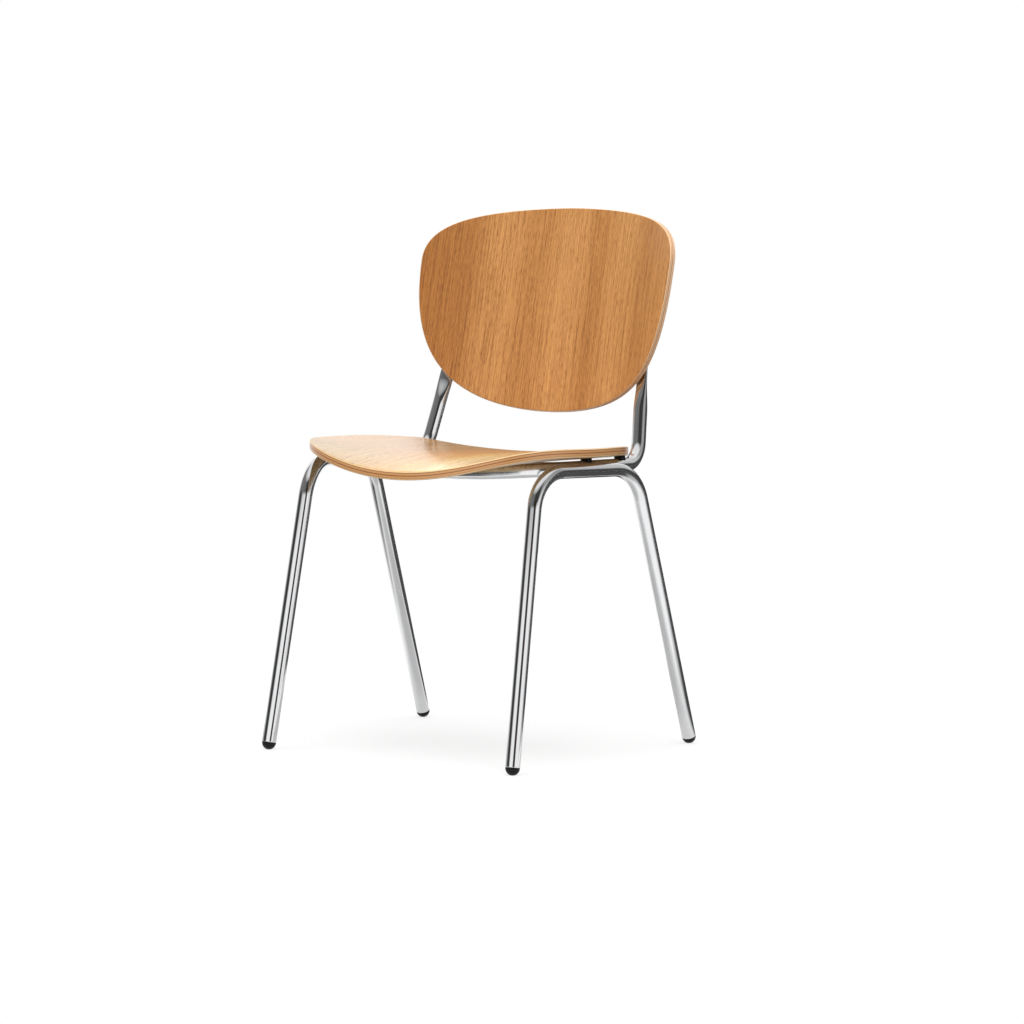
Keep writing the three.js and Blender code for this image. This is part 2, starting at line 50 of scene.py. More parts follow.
TUBE_RADIUS = 10.0
TUBE_WALL = 1.5
TIE_RADIUS = 8.0
TOUCH_GAP = 0.3
MEMBER_CLEARANCE = 1.5
TUBE_SIDES = 64
TUBE_LIP = 0.4
BEND_STEP = radians(2.5)
BAR_SIDES = 48
WELD_STEPS = 7
WELD_OVERLAP = 0.1

SEAT_THICKNESS = 12.0
SEAT_REAR_Y = 109.2
SEAT_DEPTH = 336.4
SEAT_FRONT_Y = SEAT_REAR_Y - SEAT_DEPTH
SEAT_HALF_WIDTH = 217.8
SEAT_REAR_HALF_WIDTH = 171.9
SEAT_WIDEST_Y = -41.6
SEAT_SIDE_HANDLE = 0.736
SEAT_FRONT_HANDLE = 0.742
SEAT_CORNER_CUT = 7.0
SEAT_RISE = 4.6
SEAT_ROLL = 22.5
ROLL_START = 0.4
ROLL_POWER = 2.2
SEAT_DISH = 16.7
DISH_LOSS = 8.0
FRONT_DISH = 32.9
DISH_REACH = 200.0
SEAT_ARRIS = 1.6
SEAT_FACE_CORNERS = ((-160.0, -189.2), (160.0, -189.2), (169.9, 107.7), (-169.9, 107.7))

RAIL_HEIGHT = 403.0
FRONT_FOOT = (200.0, -236.0)
REAR_FOOT = (229.0, 206.0)
RAIL_FRONT = (186.4, -165.0)
RAIL_REAR = (221.9, 40.5)
FRONT_BEND = 60.0
REAR_BEND = 70.0

SEAT_FRAME_HEIGHT = 404.5
UPRIGHT_FOOT_X = 180.3
UPRIGHT_FOOT_Y = 123.4
UPRIGHT_HEIGHT = 275.0
UPRIGHT_SLOPE = np.array([-tan(radians(7.2)), tan(radians(15.7)), 1.0])
UPRIGHT_BEND = 43.0
UPRIGHT_STEPS = 110
FRONT_MEMBER_Y = -98.2
RUN_INSET = 4.0
RUN_CORNER = 55.0
BOW_SHARE = 0.6

FLAT_HALF = 2.6
FLAT_REACH = 8.0
PRESS_START = 72.0
PRESS_LENGTH = 48.0
PRESS_CORNER = 3.0

BACK_THICKNESS = 8.6
BACK_RADIUS = 357.3
BACK_LEAN = radians(12.6)
BACK_WIDEST_HEIGHT = 272.9
BACK_HALF_WIDTH = 224.2
BACK_TOP_REACH = 95.9
BACK_BOTTOM_REACH = 209.8
BACK_TOP_SIDE_HANDLE = 0.891
BACK_TOP_MIDDLE_HANDLE = 0.21
BACK_BOTTOM_SIDE_HANDLE = 0.665
BACK_BOTTOM_MIDDLE_HANDLE = 0.755
BACK_SADDLE_HEIGHT = 2.4
BACK_ARRIS = 1.3
BACK_FACE_CORNERS = ((-150.0, -150.0), (150.0, -150.0), (170.0, 75.0), (-170.0, 75.0))
FACE_QUADS = (190, 150)

SADDLE_RADIUS = 8.0
SADDLE_ROUND = 0.5
SADDLE_CHAMFER = 0.3
SEAT_SADDLE_HEIGHT = 3.0
SHANK_RADIUS = 2.7
HOLE_RADIUS = 3.3
HEAD_RADIUS = 5.5
HEAD_HEIGHT = 3.2
SOCKET_RADIUS = 2.2
SOCKET_DEPTH = 2.0
SOCKET_RIM = 0.5
SHANK_CHAMFER = 0.4
SCREW_SIDES = 72
SADDLE_SIDES = 64
INSERT_STEPS = 33
INSERT_RADIUS = 4.5
SEAT_INSERT_LENGTH = 8.0
BACK_INSERT_LENGTH = 5.2
INSERT_RIDGES = 8
INSERT_RIDGE_DEPTH = 0.18
SEAT_FIXINGS_Y = (("front", -14.2), ("rear", 76.4))
BACK_FIXING_HEIGHTS = (("lower", 150.0), ("upper", 235.0))

REAR_TIE_Y = 34.8
TIE_BEAD = 1.6
SPACER_RADIUS = 6.0
SPACER_BEAD = 1.4
SPACERS_Y = (("front", -38.2), ("rear", -0.2))
GLIDE_FLAT = 3.0
GLIDE_COLLAR = 0.6
GLIDE_RADIUS = 9.9
GLIDE_STEM = 18.0
PLUG_COLLAR = 1.0
PLUG_DOME = 2.0
PLUG_STEM = 14.0
STEM_RADIUS = 8.0

CONTACT_GAP = 0.05
EDGE_ROUND = 0.15

SIDES = (("left", 1.0), ("right", -1.0))
UP = np.array([0.0, 0.0, 1.0])


def vec(x, y, z):
    """A point or direction from its three parts."""
    return np.array([x, y, z], float)


def unit(v):
    """Vectors divided by their lengths."""
    return v / np.linalg.norm(v, axis=-1, keepdims=True)


def mirrored(point, side):
    """A point of the left half, or on the right half where side is -1."""
    return point * np.array([side, 1.0, 1.0])


# ---- Meshes ---------------------------------------------------------------------------


def make_piece(name, points, faces, finish, node=None, grain=None, sharp=50):
    """A mesh from points (n, 3) in millimetres and a list of face arrays, one array for each
    number of corners. Faces are turned round where the volume they enclose is negative. A piece
    that stands for no node is part of the studio."""
    loops = np.concatenate([f.ravel() for f in faces])
    counts = np.concatenate([np.full(len(f), f.shape[1]) for f in faces])
    starts = np.concatenate([[0], np.cumsum(counts)[:-1]])
    fans = [f[:, [0, i, i + 1]] for f in faces for i in range(1, f.shape[1] - 1)]
    a, b, c = points[np.concatenate(fans)].transpose(1, 0, 2)
    if np.einsum("ij,ij->", a, np.cross(b, c)) < 0:
        loops = np.concatenate([f[:, ::-1].ravel() for f in faces])
    mesh = bpy.data.meshes.new(name)
    mesh.vertices.add(len(points))
    mesh.vertices.foreach_set("co", (points * MM).astype(np.float32).ravel())
    mesh.loops.add(len(loops))
    mesh.loops.foreach_set("vertex_index", loops.astype(np.int32))
    mesh.polygons.add(len(counts))
    mesh.polygons.foreach_set("loop_start", starts.astype(np.int32))
    mesh.update(calc_edges=True)
    mesh.polygons.foreach_set("use_smooth", np.ones(len(counts), bool))
    mesh.set_sharp_from_angle(angle=radians(sharp))
    if grain is not None:
        layer = mesh.attributes.new("grain", "FLOAT_VECTOR", "POINT")
        layer.data.foreach_set("vector", (grain * MM).astype(np.float32).ravel())
    mesh.materials.append(finish)
    piece = bpy.data.objects.new(name, mesh)
    bpy.context.scene.collection.objects.link(piece)
    if node is None:
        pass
    else:
        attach(piece, "root")
        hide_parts(node)
    return piece


def grid_faces(rows, columns, wrap_rows=False, wrap_columns=False):
    """Corner numbers of the quads between neighbouring points of a grid stored row by row."""
    i = np.arange(rows if wrap_rows else rows - 1)[:, None]
    j = np.arange(columns if wrap_columns else columns - 1)[None, :]
    i2, j2 = (i + 1) % rows, (j + 1) % columns
    corners = [i * columns + j, i * columns + j2, i2 * columns + j2, i2 * columns + j]
    return np.stack(np.broadcast_arrays(*corners), -1).reshape(-1, 4)


def ring_faces(ring, pole):
    """Triangles from one point to each pair of neighbours round a ring."""
    return np.stack([ring, np.roll(ring, -1), np.full_like(ring, pole)], -1)


def make_grid(name, grid, finish, node, poles=True, sharp=50):
    """A piece from a grid (rows, columns, 3) whose columns run round it. With poles, its first
    and last rows each shrink to one point; without, its last row joins its first."""
    rows, columns = grid.shape[:2]
    if not poles:
        faces = [grid_faces(rows, columns, True, True)]
        return make_piece(name, grid.reshape(-1, 3), faces, finish, node, sharp=sharp)
    body = grid[1:-1].reshape(-1, 3)
    points = np.concatenate([body, grid[:1, 0], grid[-1:, 0]])
    rings = np.arange(len(body)).reshape(rows - 2, columns)
    faces = [
        grid_faces(rows - 2, columns, False, True),
        ring_faces(rings[0][::-1], len(body)),
        ring_faces(rings[-1], len(body) + 1),
    ]
    return make_piece(name, points, faces, finish, node, sharp=sharp)


def circle_about(direction, sides):
    """Unit vectors round a direction and square to it, and the direction's own unit vector."""
    along = unit(direction)
    across = unit(np.cross(UP if abs(along[2]) < 0.9 else vec(0, 1, 0), along))
    angle = np.linspace(0, 2 * np.pi, sides, endpoint=False)[:, None]
    return np.cos(angle) * across + np.sin(angle) * np.cross(along, across), along


def turned(profile, origin, direction, sides=48):
    """Surface of revolution: each [radius, height] of the profile becomes a circle about the
    line through origin along direction."""
    ring, along = circle_about(direction, sides)
    radius, height = np.array(profile, float).T[..., None, None]
    return origin + radius * ring + height * along


# ---- Bent tube ------------------------------------------------------------------------


def tube_path(corners, bend_radii, end_steps=1):
    """Stations and tangents of a centre line: straight, with an arc tangent to both sides at
    each inner corner. Round an arc the station is centre - r cos(a) inward + r sin(a) incoming.
    The straight stretch at each end is cut into end_steps."""
    points, tangents = [corners[0][None]], [unit(corners[1] - corners[0])[None]]
    for before, corner, after, radius in zip(corners, corners[1:], corners[2:], bend_radii):
        incoming, outgoing = unit(corner - before), unit(after - corner)
        angle = np.arccos(np.clip(incoming @ outgoing, -1, 1))
        inward = unit(outgoing - np.cos(angle) * incoming)
        centre = corner - radius * np.tan(angle / 2) * incoming + radius * inward
        turn = np.linspace(0, angle, max(4, int(np.ceil(angle / BEND_STEP))) + 1)[:, None]
        points.append(centre - radius * np.cos(turn) * inward + radius * np.sin(turn) * incoming)
        tangents.append(np.cos(turn) * incoming + np.sin(turn) * inward)
    points.append(corners[-1][None])
    tangents.append(unit(corners[-1] - corners[-2])[None])
    if end_steps > 1:
        share = np.linspace(0, 1, end_steps, endpoint=False)[1:, None]
        first = corners[0] + share * (points[1][0] - corners[0])
        last = points[-2][-1] + share * (corners[-1] - points[-2][-1])
        points[1:1], points[-1:-1] = [first], [last]
        tangents[1:1] = [np.repeat(tangents[0], len(share), 0)]
        tangents[-1:-1] = [np.repeat(tangents[-1], len(share), 0)]
    return np.concatenate(points), np.concatenate(tangents)


def sections(points, tangents, radii, reference):
    """Circles of given radii square to a centre line, turned to face a fixed reference."""
    first = unit(reference - (tangents @ reference)[:, None] * tangents)
    second = np.cross(tangents, first)
    angle = np.linspace(0, 2 * np.pi, TUBE_SIDES, endpoint=False)[None, :, None]
    ring = np.cos(angle) * first[:, None] + np.sin(angle) * second[:, None]
    return points[:, None] + radii[:, None, None] * ring


def tube_wall(points, tangents, outer, inner, reference):
    """Closed wall of a tube: the outside along the path, a rounded lip, and the bore back. A ring
    close to each end keeps the lip's rounding out of the straight wall's shading."""
    lip = TUBE_LIP
    quarter = np.linspace(0, np.pi / 2, 4)
    end_radius = np.concatenate([[outer], outer - lip + lip * np.cos(quarter), [inner, inner]])
    end_shift = np.concatenate([[-2.5 * lip], lip * np.sin(quarter) - lip, [0.0, -2.5 * lip]])
    first = points[:1] - end_shift[::-1, None] * tangents[0]
    last = points[-1:] + end_shift[:, None] * tangents[-1]
    middle, ahead, rings = points[1:-1], tangents[1:-1], len(end_radius)
    stations = first, middle, last, middle[::-1]
    headings = (np.repeat(tangents[:1], rings, 0), ahead,
                np.repeat(tangents[-1:], rings, 0), ahead[::-1])
    radii = end_radius[::-1], np.full(len(middle), outer), end_radius, np.full(len(middle), inner)
    return sections(*map(np.concatenate, (stations, headings, radii)), reference)


def reach_to_tube(starts, direction, tube_point, tube_axis, radius):
    """How far along a direction each start point is from the near wall of a straight tube: the
    smaller root of the quadratic for the distance from the tube's line being its radius."""
    square = lambda v: v - (v @ tube_axis)[..., None] * tube_axis
    a = square(direction)
    b = square(starts - tube_point)
    aa, ab = a @ a, b @ a
    return (-ab - np.sqrt(ab**2 - aa * ((b * b).sum(-1) - radius**2))) / aa


def welded_end(centre, ring, outward, radius, bead, tube_point, tube_axis):
    """Rings at one end of a round bar, from the tube that it meets inwards. At each angle the bar
    runs on to the tube's wall, and there it flares as a weld: radius + bead (1 - share) squared."""
    share = np.linspace(0, 1, WELD_STEPS)[:, None]
    start = centre + (radius + bead * (1 - share) ** 2)[..., None] * ring
    reach = reach_to_tube(start, outward, tube_point, tube_axis, TUBE_RADIUS - WELD_OVERLAP)
    return start + (reach - bead * share)[..., None] * outward


def welded_bar(near, between, far):
    """Grid of a bar from the rings at its two ends and between them, closed at the middle of the
    first ring of each end."""
    caps = [np.broadcast_to(end[0].mean(0), (1, *end[0].shape)) for end in (near, far)]
    return np.concatenate([caps[0], near, *between, far[::-1], caps[1]])


# ---- Seat and backrest surfaces -------------------------------------------------------


def seat_form(x, y):
    """Height of the seat's upper face: a gentle rise forwards, a front edge rolled down by a
    power of the share of the depth, and a dish that grows with the square of x."""
    share = (SEAT_REAR_Y - y) / SEAT_DEPTH
    roll = np.clip((share - ROLL_START) / (1 - ROLL_START), 0, None) ** ROLL_POWER
    dish = SEAT_DISH - DISH_LOSS * share + FRONT_DISH * roll
    return SEAT_RISE * share - SEAT_ROLL * roll + dish * (x / DISH_REACH) ** 2


def seat_normal(x, y):
    """Unit normal of the seat's upper face, from the height's slope over a short step."""
    step = 0.5
    slope_x = (seat_form(x + step, y) - seat_form(x - step, y)) / (2 * step)
    slope_y = (seat_form(x, y + step) - seat_form(x, y - step)) / (2 * step)
    return unit(np.stack([-slope_x, -slope_y, np.ones_like(slope_x)], -1))


def rail_x(y):
    """How far out the left side rail lies, by straight mixing of its two ends."""
    share = (y - RAIL_FRONT[1]) / (RAIL_REAR[1] - RAIL_FRONT[1])
    return RAIL_FRONT[0] + share * (RAIL_REAR[0] - RAIL_FRONT[0])


RUN_FRONT_X = rail_x(FRONT_MEMBER_Y) - 2 * TUBE_RADIUS - RUN_INSET


def run_point(y):
    """Point of the left run under the seat, by straight mixing of its two ends."""
    share = (y - FRONT_MEMBER_Y) / (UPRIGHT_FOOT_Y - FRONT_MEMBER_Y)
    return vec(RUN_FRONT_X + share * (UPRIGHT_FOOT_X - RUN_FRONT_X), y, SEAT_FRAME_HEIGHT)


def run_axis(side):
    """Direction of the run of one side."""
    return unit(mirrored(run_point(0) - run_point(-50), side))


REAR_FIXING = run_point(SEAT_FIXINGS_Y[1][1])
SEAT_LEVEL = (
    SEAT_FRAME_HEIGHT
    - seat_form(REAR_FIXING[0], REAR_FIXING[1])
    + (TUBE_RADIUS + SEAT_SADDLE_HEIGHT + SEAT_THICKNESS)
    / seat_normal(REAR_FIXING[0], REAR_FIXING[1])[2]
)


def seat_height(x, y):
    """Height of the seat's upper face above the floor."""
    return SEAT_LEVEL + seat_form(x, y)


def on_seat(x, y, depth):
    """Point at a depth below the seat's upper face, measured square to it, straight down."""
    return np.stack([x, y, seat_height(x, y) - depth / seat_normal(x, y)[..., 2]], -1)


BACK_UP = vec(0, sin(BACK_LEAN), cos(BACK_LEAN))
BACK_FORWARD = vec(0, -cos(BACK_LEAN), sin(BACK_LEAN))


def upright_point(height):
    """Point of the left upright's line, at a height above the seat frame."""
    return vec(UPRIGHT_FOOT_X, UPRIGHT_FOOT_Y, SEAT_FRAME_HEIGHT) + height * UPRIGHT_SLOPE


UPPER_FIXING = upright_point(BACK_FIXING_HEIGHTS[1][1])
SADDLE_REACH = BACK_RADIUS + BACK_THICKNESS + BACK_SADDLE_HEIGHT + FLAT_HALF
FIXING_DEPTH = BACK_RADIUS - (SADDLE_REACH**2 - UPPER_FIXING[0] ** 2) ** 0.5
BACK_MIDDLE = vec(0, 0, SEAT_FRAME_HEIGHT + BACK_WIDEST_HEIGHT)
BACK_MIDDLE[1] = (
    UPPER_FIXING[1]
    - (FIXING_DEPTH - (UPPER_FIXING[2] - BACK_MIDDLE[2]) * BACK_FORWARD[2]) / BACK_FORWARD[1]
)
BACK_AXIS = BACK_MIDDLE + BACK_RADIUS * BACK_FORWARD


def on_back(u, v, depth):
    """Point at a depth behind the backrest's front face, a cylinder leaning back: u runs round
    the cylinder and v along it."""
    turn, reach = u / BACK_RADIUS, BACK_RADIUS + depth
    spot = BACK_AXIS + v[..., None] * BACK_UP - (reach * np.cos(turn))[..., None] * BACK_FORWARD
    return np.stack([reach * np.sin(turn), spot[..., 1], spot[..., 2]], -1)


def toward_back(origin):
    """From a point of an upright square to the backrest."""
    to_axis = BACK_AXIS - origin
    return to_axis - (to_axis @ BACK_UP) * BACK_UP


PRESS_ALONG = unit(UPRIGHT_SLOPE)
TO_BACK = toward_back(UPPER_FIXING)
PRESS_TOWARD = unit(TO_BACK - (TO_BACK @ PRESS_ALONG) * PRESS_ALONG)
PRESS_ACROSS = np.cross(PRESS_TOWARD, PRESS_ALONG)


def pressed(points):
    """The uprights' points where the round tube is pressed flat: a point at radius r and angle a
    from the centre line goes to [end + half cos(a), half sin(a)], where half is its distance
    from the flat's middle plane and end the reach of the flats, mixed in with height."""
    side = np.where(points[..., :1] < 0, -1.0, 1.0) * [1, 0, 0] + [0, 1, 1]
    offset = points * side - upright_point(0)
    along, across, toward = (offset @ axis for axis in (PRESS_ALONG, PRESS_ACROSS, PRESS_TOWARD))
    share = np.clip((along * PRESS_ALONG[2] - PRESS_START) / PRESS_LENGTH, 0, 1)
    share = share**2 * (3 - 2 * share)
    radius = np.maximum(np.hypot(across, toward), 1e-6)
    c, s = across / radius, toward / radius
    core = np.minimum(1, radius / STEM_RADIUS)
    half = (FLAT_HALF - TUBE_RADIUS + np.maximum(radius, STEM_RADIUS)) * core
    end = FLAT_REACH * core * np.clip(PRESS_CORNER * c, -1, 1)
    new_across = across + share * (end + half * c - across)
    new_toward = toward + share * (half * s - toward)
    moved = along[..., None] * PRESS_ALONG + new_across[..., None] * PRESS_ACROSS
    moved = (moved + new_toward[..., None] * PRESS_TOWARD + upright_point(0)) * side
    return np.where((share > 0)[..., None], moved, points)


def bezier(*handles, steps=400):
    """Points of a Bezier curve, by repeated straight mixing of its handles."""
    t = np.linspace(0, 1, steps)[:, None]
    rows = [np.array(h, float) for h in handles]
    while len(rows) > 1:
        rows = [(1 - t) * a + t * b for a, b in zip(rows, rows[1:])]
    return rows[0]


def whole_outline(*curves):
    """Both halves of an outline from the curves of its left half, without doubled points."""
    half = np.concatenate(curves)
    both = np.concatenate([half, half[::-1] * [-1, 1]])
    keep = np.linalg.norm(both - np.roll(both, 1, 0), axis=1) > 1e-6
    return both[keep]


def seat_outline():
    """The seat's outline: a curve round the front to the widest place, a shallower one back from
    it, and a straight rear edge with a small rounded corner."""
    widest = (SEAT_HALF_WIDTH, SEAT_WIDEST_Y)
    handle_y = SEAT_WIDEST_Y + SEAT_SIDE_HANDLE * (SEAT_FRONT_Y - SEAT_WIDEST_Y)
    side = np.array([SEAT_HALF_WIDTH, (SEAT_WIDEST_Y + SEAT_REAR_Y) / 2])
    corner = np.array([SEAT_REAR_HALF_WIDTH, SEAT_REAR_Y])
    before = corner + SEAT_CORNER_CUT * unit(side - corner)
    after = corner - [SEAT_CORNER_CUT, 0]
    return whole_outline(
        bezier((0, SEAT_FRONT_Y), (SEAT_FRONT_HANDLE * SEAT_HALF_WIDTH, SEAT_FRONT_Y),
               (SEAT_HALF_WIDTH, handle_y), widest),
        bezier(widest, side, before),
        bezier(before, corner, after, steps=60),
        bezier(after, (0, SEAT_REAR_Y), steps=60),
    )


def back_outline():
    """The backrest's outline: one curve from the bottom to the widest place, one on to the top."""
    width, top, bottom = BACK_HALF_WIDTH, BACK_TOP_REACH, BACK_BOTTOM_REACH
    return whole_outline(
        bezier((0, -bottom), (BACK_BOTTOM_MIDDLE_HANDLE * width, -bottom),
               (width, -BACK_BOTTOM_SIDE_HANDLE * bottom), (width, 0)),
        bezier((width, 0), (width, BACK_TOP_SIDE_HANDLE * top),
               (BACK_TOP_MIDDLE_HANDLE * width, top), (0, top)),
    )


def plywood(name, outline, corner_points, counts, thickness, arris, place, finish, node):
    """A bent sheet. Each face is a patch between four stretches of the outline: opposite
    stretches mixed across, plus the same the other way, less the mix of the four corners. The
    edge is a profile with rounded arrises carried round the outline."""
    closed = np.concatenate([outline, outline[:1]])
    run = np.concatenate([[0], np.cumsum(np.linalg.norm(np.diff(closed, axis=0), axis=1))])
    heading = unit(np.roll(outline, -1, 0) - np.roll(outline, 1, 0))
    inward = np.stack([-heading[:, 1], heading[:, 0]], 1)
    inward = np.concatenate([inward, inward[:1]])

    def along(lengths, inset):
        at = np.mod(lengths, run[-1])
        spot = [np.interp(at, run, closed[:, k]) for k in (0, 1)]
        turn = unit(np.stack([np.interp(at, run, inward[:, k]) for k in (0, 1)], -1))
        return np.stack(spot, -1) + inset * turn

    starts = [run[np.argmin(np.linalg.norm(outline - p, axis=1))] for p in corner_points]
    ends = starts[1:] + [starts[0]]
    stretches = [
        np.linspace(a, b if b > a else b + run[-1], n + 1)
        for a, b, n in zip(starts, ends, (counts[0], counts[1], counts[0], counts[1]))
    ]
    side = [along(s, arris) for s in stretches]
    low, high = side[0], side[2][::-1]
    first, last = side[3][::-1], side[1]
    u = np.linspace(0, 1, counts[0] + 1)[None, :, None]
    v = np.linspace(0, 1, counts[1] + 1)[:, None, None]
    patch = (1 - v) * low[None] + v * high[None] + (1 - u) * first[:, None] + u * last[:, None]
    patch -= (1 - v) * ((1 - u) * low[0] + u * low[-1]) + v * ((1 - u) * high[0] + u * high[-1])

    rows, columns = patch.shape[:2]
    number = np.arange(rows * columns).reshape(rows, columns)
    rim = np.concatenate([number[0, :-1], number[:-1, -1], number[-1, :0:-1], number[:0:-1, 0]])
    lengths = np.concatenate([s[:-1] for s in stretches])
    quarter = np.linspace(0, np.pi / 2, 7)
    inset = np.concatenate([arris * (1 - np.sin(quarter)), arris * (1 - np.cos(quarter))])
    depth = np.concatenate([arris * (1 - np.cos(quarter)),
                            thickness - arris * (1 - np.sin(quarter))])
    inset, depth = inset[1:-1], depth[1:-1]
    band = np.stack([along(lengths, d) for d in inset])
    flat = patch.reshape(-1, 2)
    plan = np.concatenate([flat, flat, band.reshape(-1, 2)])
    depths = np.concatenate([np.zeros(len(flat)), np.full(len(flat), thickness),
                             np.repeat(depth, len(lengths))])
    points = place(plan[:, 0], plan[:, 1], depths)
    lower = number + number.size
    strip = 2 * number.size + np.arange(band[..., 0].size).reshape(len(depth), -1)
    whole = np.concatenate([rim[None], strip, (rim + number.size)[None]])
    quads = lambda g: np.stack([g[:-1, :-1], g[:-1, 1:], g[1:, 1:], g[1:, :-1]], -1).reshape(-1, 4)
    belt = np.concatenate([whole, whole[:, :1]], 1)
    faces = [quads(number), quads(lower)[:, ::-1], quads(belt)[:, ::-1]]
    grain = np.column_stack([plan, depths])
    return make_piece(name, points, faces, finish, node, grain, sharp=80)


# ---- Finishes -------------------------------------------------------------------------


class NodeMaker:
    """Adds shader nodes to a node tree, one method for each kind of node or small sum."""

    def __init__(self, tree):
        self.tree = tree

    def set(self, node, socket, value):
        """Gives a node's socket a value of its own, or links it to another socket."""
        if isinstance(value, bpy.types.NodeSocket):
            self.tree.links.new(value, node.inputs[socket])
        else:
            node.inputs[socket].default_value = value

    def add(self, kind, inputs, output=0, **settings):
        """A new node's output, after its settings and its sockets' values are given."""
        node = self.tree.nodes.new("ShaderNode" + kind)
        for key, value in settings.items():
            setattr(node, key, value)
        for socket, value in inputs.items():
            self.set(node, socket, value)
        return node.outputs[output]

    def place(self):
        return self.add("TexCoord", {}, "Object")

    def stretch(self, vector, scale, shift=(0, 0, 0)):
        return self.add("Mapping", {"Vector": vector, "Scale": scale, "Location": shift})

    def noise(self, vector, scale=1.0, detail=2.0, roughness=0.5):
        sockets = {"Vector": vector, "Scale": scale, "Detail": detail, "Roughness": roughness}
        return self.add("TexNoise", sockets, "Fac")

    def ramp(self, value, *stops, ease="LINEAR"):
        """Colour or level at a value, from (place, level or colour) stops."""
        node = self.tree.nodes.new("ShaderNodeValToRGB")
        node.color_ramp.interpolation = ease
        elements = node.color_ramp.elements
        while len(elements) < len(stops):
            elements.new(0.5)
        for element, (spot, level) in zip(elements, stops):
            element.position = spot
            element.color = (*level, 1) if isinstance(level, tuple) else (level,) * 3 + (1,)
        self.set(node, "Fac", value)
        return node.outputs["Color"]

    def math(self, operation, a, b=0.0, c=0.5, clamp=False):
        return self.add("Math", {0: a, 1: b, 2: c}, operation=operation, use_clamp=clamp)

    def span(self, value, low, high, to_low=0.0, to_high=1.0):
        """A value between low and high, moved to the span between to_low and to_high."""
        sockets = {"Value": value, "From Min": low, "From Max": high,
                   "To Min": to_low, "To Max": to_high}
        return self.add("MapRange", sockets)

    def mix(self, share, a, b, blend="MIX"):
        node = self.tree.nodes.new("ShaderNodeMix")
        node.data_type, node.blend_type = "RGBA", blend
        for index, value in ((0, share), (6, a), (7, b)):
            self.set(node, index, (*value, 1) if isinstance(value, tuple) else value)
        return node.outputs[2]

    def weigh(self, *terms):
        """Sum of values, each times its weight."""
        total = 0.0
        for weight, value in terms:
            total = self.add("Math", {0: value, 1: weight, 2: total}, operation="MULTIPLY_ADD")
        return total

    def tinted(self, tone, tint):
        return self.mix(1.0, tone, tint, "MULTIPLY")

    def bump(self, height, distance, strength=1.0):
        return self.add("Bump", {"Height": height, "Distance": distance, "Strength": strength})

    def channel(self, vector, index):
        return self.add("SeparateXYZ", {"Vector": vector}, index)

    def length(self, vector):
        return self.add("VectorMath", {0: vector}, "Value", operation="LENGTH")


class Finish(NodeMaker):
    """A material in the making, with one Principled BSDF."""

    def __init__(self, name, **sockets):
        self.material = bpy.data.materials.new(name)
        self.material.use_nodes = True
        super().__init__(self.material.node_tree)
        self.shader = self.tree.nodes["Principled BSDF"]
        self.surface(**sockets)

    def surface(self, **sockets):
        """Sets the shader's sockets, named with _ for each space."""
        for socket, value in sockets.items():
            self.set(self.shader, socket.replace("_", " "), value)

    def let_through(self, share):
        """Mixes the surface with clear: at a share of 0 it is clear, and at 1 solid."""
        clear = self.add("BsdfTransparent", {})
        blend = self.add("MixShader", {0: share, 1: clear, 2: self.shader.outputs[0]})
        self.set(self.tree.nodes["Material Output"], "Surface", blend)


def chrome():
    """Bright chrome plate: nearly a mirror, with faint smears and a slow ripple of polishing."""
    f = Finish("chrome_plate", Metallic=1.0)
    at = f.place()
    smear = f.noise(f.stretch(at, (38, 38, 14)), detail=5, roughness=0.6)
    speck = f.noise(at, 420, detail=3)
    tone = f.mix(f.span(smear, 0.35, 0.75), (0.83, 0.835, 0.845), (0.76, 0.765, 0.775))
    rough = f.math("ADD", f.span(smear, 0.4, 0.8, 0.035, 0.09), f.span(speck, 0.6, 0.8, 0, 0.05))
    ripple = f.noise(f.stretch(at, (30, 30, 9)), detail=1)
    f.surface(Base_Color=tone, Roughness=rough, Normal=f.bump(ripple, 0.0006, 0.5))
    return f.material


def zinc():
    """Zinc-plated steel: dull, cloudy, with a fine tooth."""
    f = Finish("zinc_plate", Metallic=1.0)
    at = f.place()
    cloud = f.noise(at, 160, detail=4)
    tone = f.ramp(cloud, (0.3, (0.42, 0.43, 0.45)), (0.7, (0.62, 0.62, 0.6)))
    tooth = f.bump(f.noise(at, 1400, detail=3), 0.00004)
    f.surface(Base_Color=tone, Roughness=f.span(cloud, 0.3, 0.7, 0.26, 0.42), Normal=tooth)
    return f.material


def black_plastic(name, scuff_height=None):
    """Moulded black plastic: satin, faintly pebbled, and scuffed grey where it meets the floor."""
    f = Finish(name, IOR=1.49, Specular_IOR_Level=0.22)
    at = f.place()
    cloud = f.noise(at, 90, detail=3)
    tone = f.mix(cloud, (0.006, 0.006, 0.007), (0.010, 0.010, 0.011))
    rough = f.span(cloud, 0.3, 0.7, 0.34, 0.46)
    if scuff_height:
        low = f.span(f.channel(at, 2), scuff_height, 0.0)
        patch = f.span(f.noise(f.stretch(at, (1, 1, 3)), 520, detail=5, roughness=0.7), 0.48, 0.66)
        worn = f.math("MULTIPLY", low, patch, clamp=True)
        tone = f.mix(worn, tone, (0.085, 0.082, 0.078))
        rough = f.math("ADD", rough, f.math("MULTIPLY", worn, 0.3), clamp=True)
    pebble = f.bump(f.noise(at, 2600), 0.00003)
    f.surface(Base_Color=tone, Roughness=rough, Normal=pebble)
    return f.material


FIGURE_REACH = 240.0
# How far, in metres, the lines wander sideways, and the heights of the two reliefs.
GRAIN_WANDER = 0.007
GRAIN_RELIEF = 0.00006
COAT_RELIEF = 0.00012
# Depths between which the veneer's face gives way to the plies.
VENEER_DEPTHS = (0.25, 0.55)
PALE_OAK = np.array((0.550, 0.260, 0.078))
DARK_OAK = np.array((0.360, 0.137, 0.026))
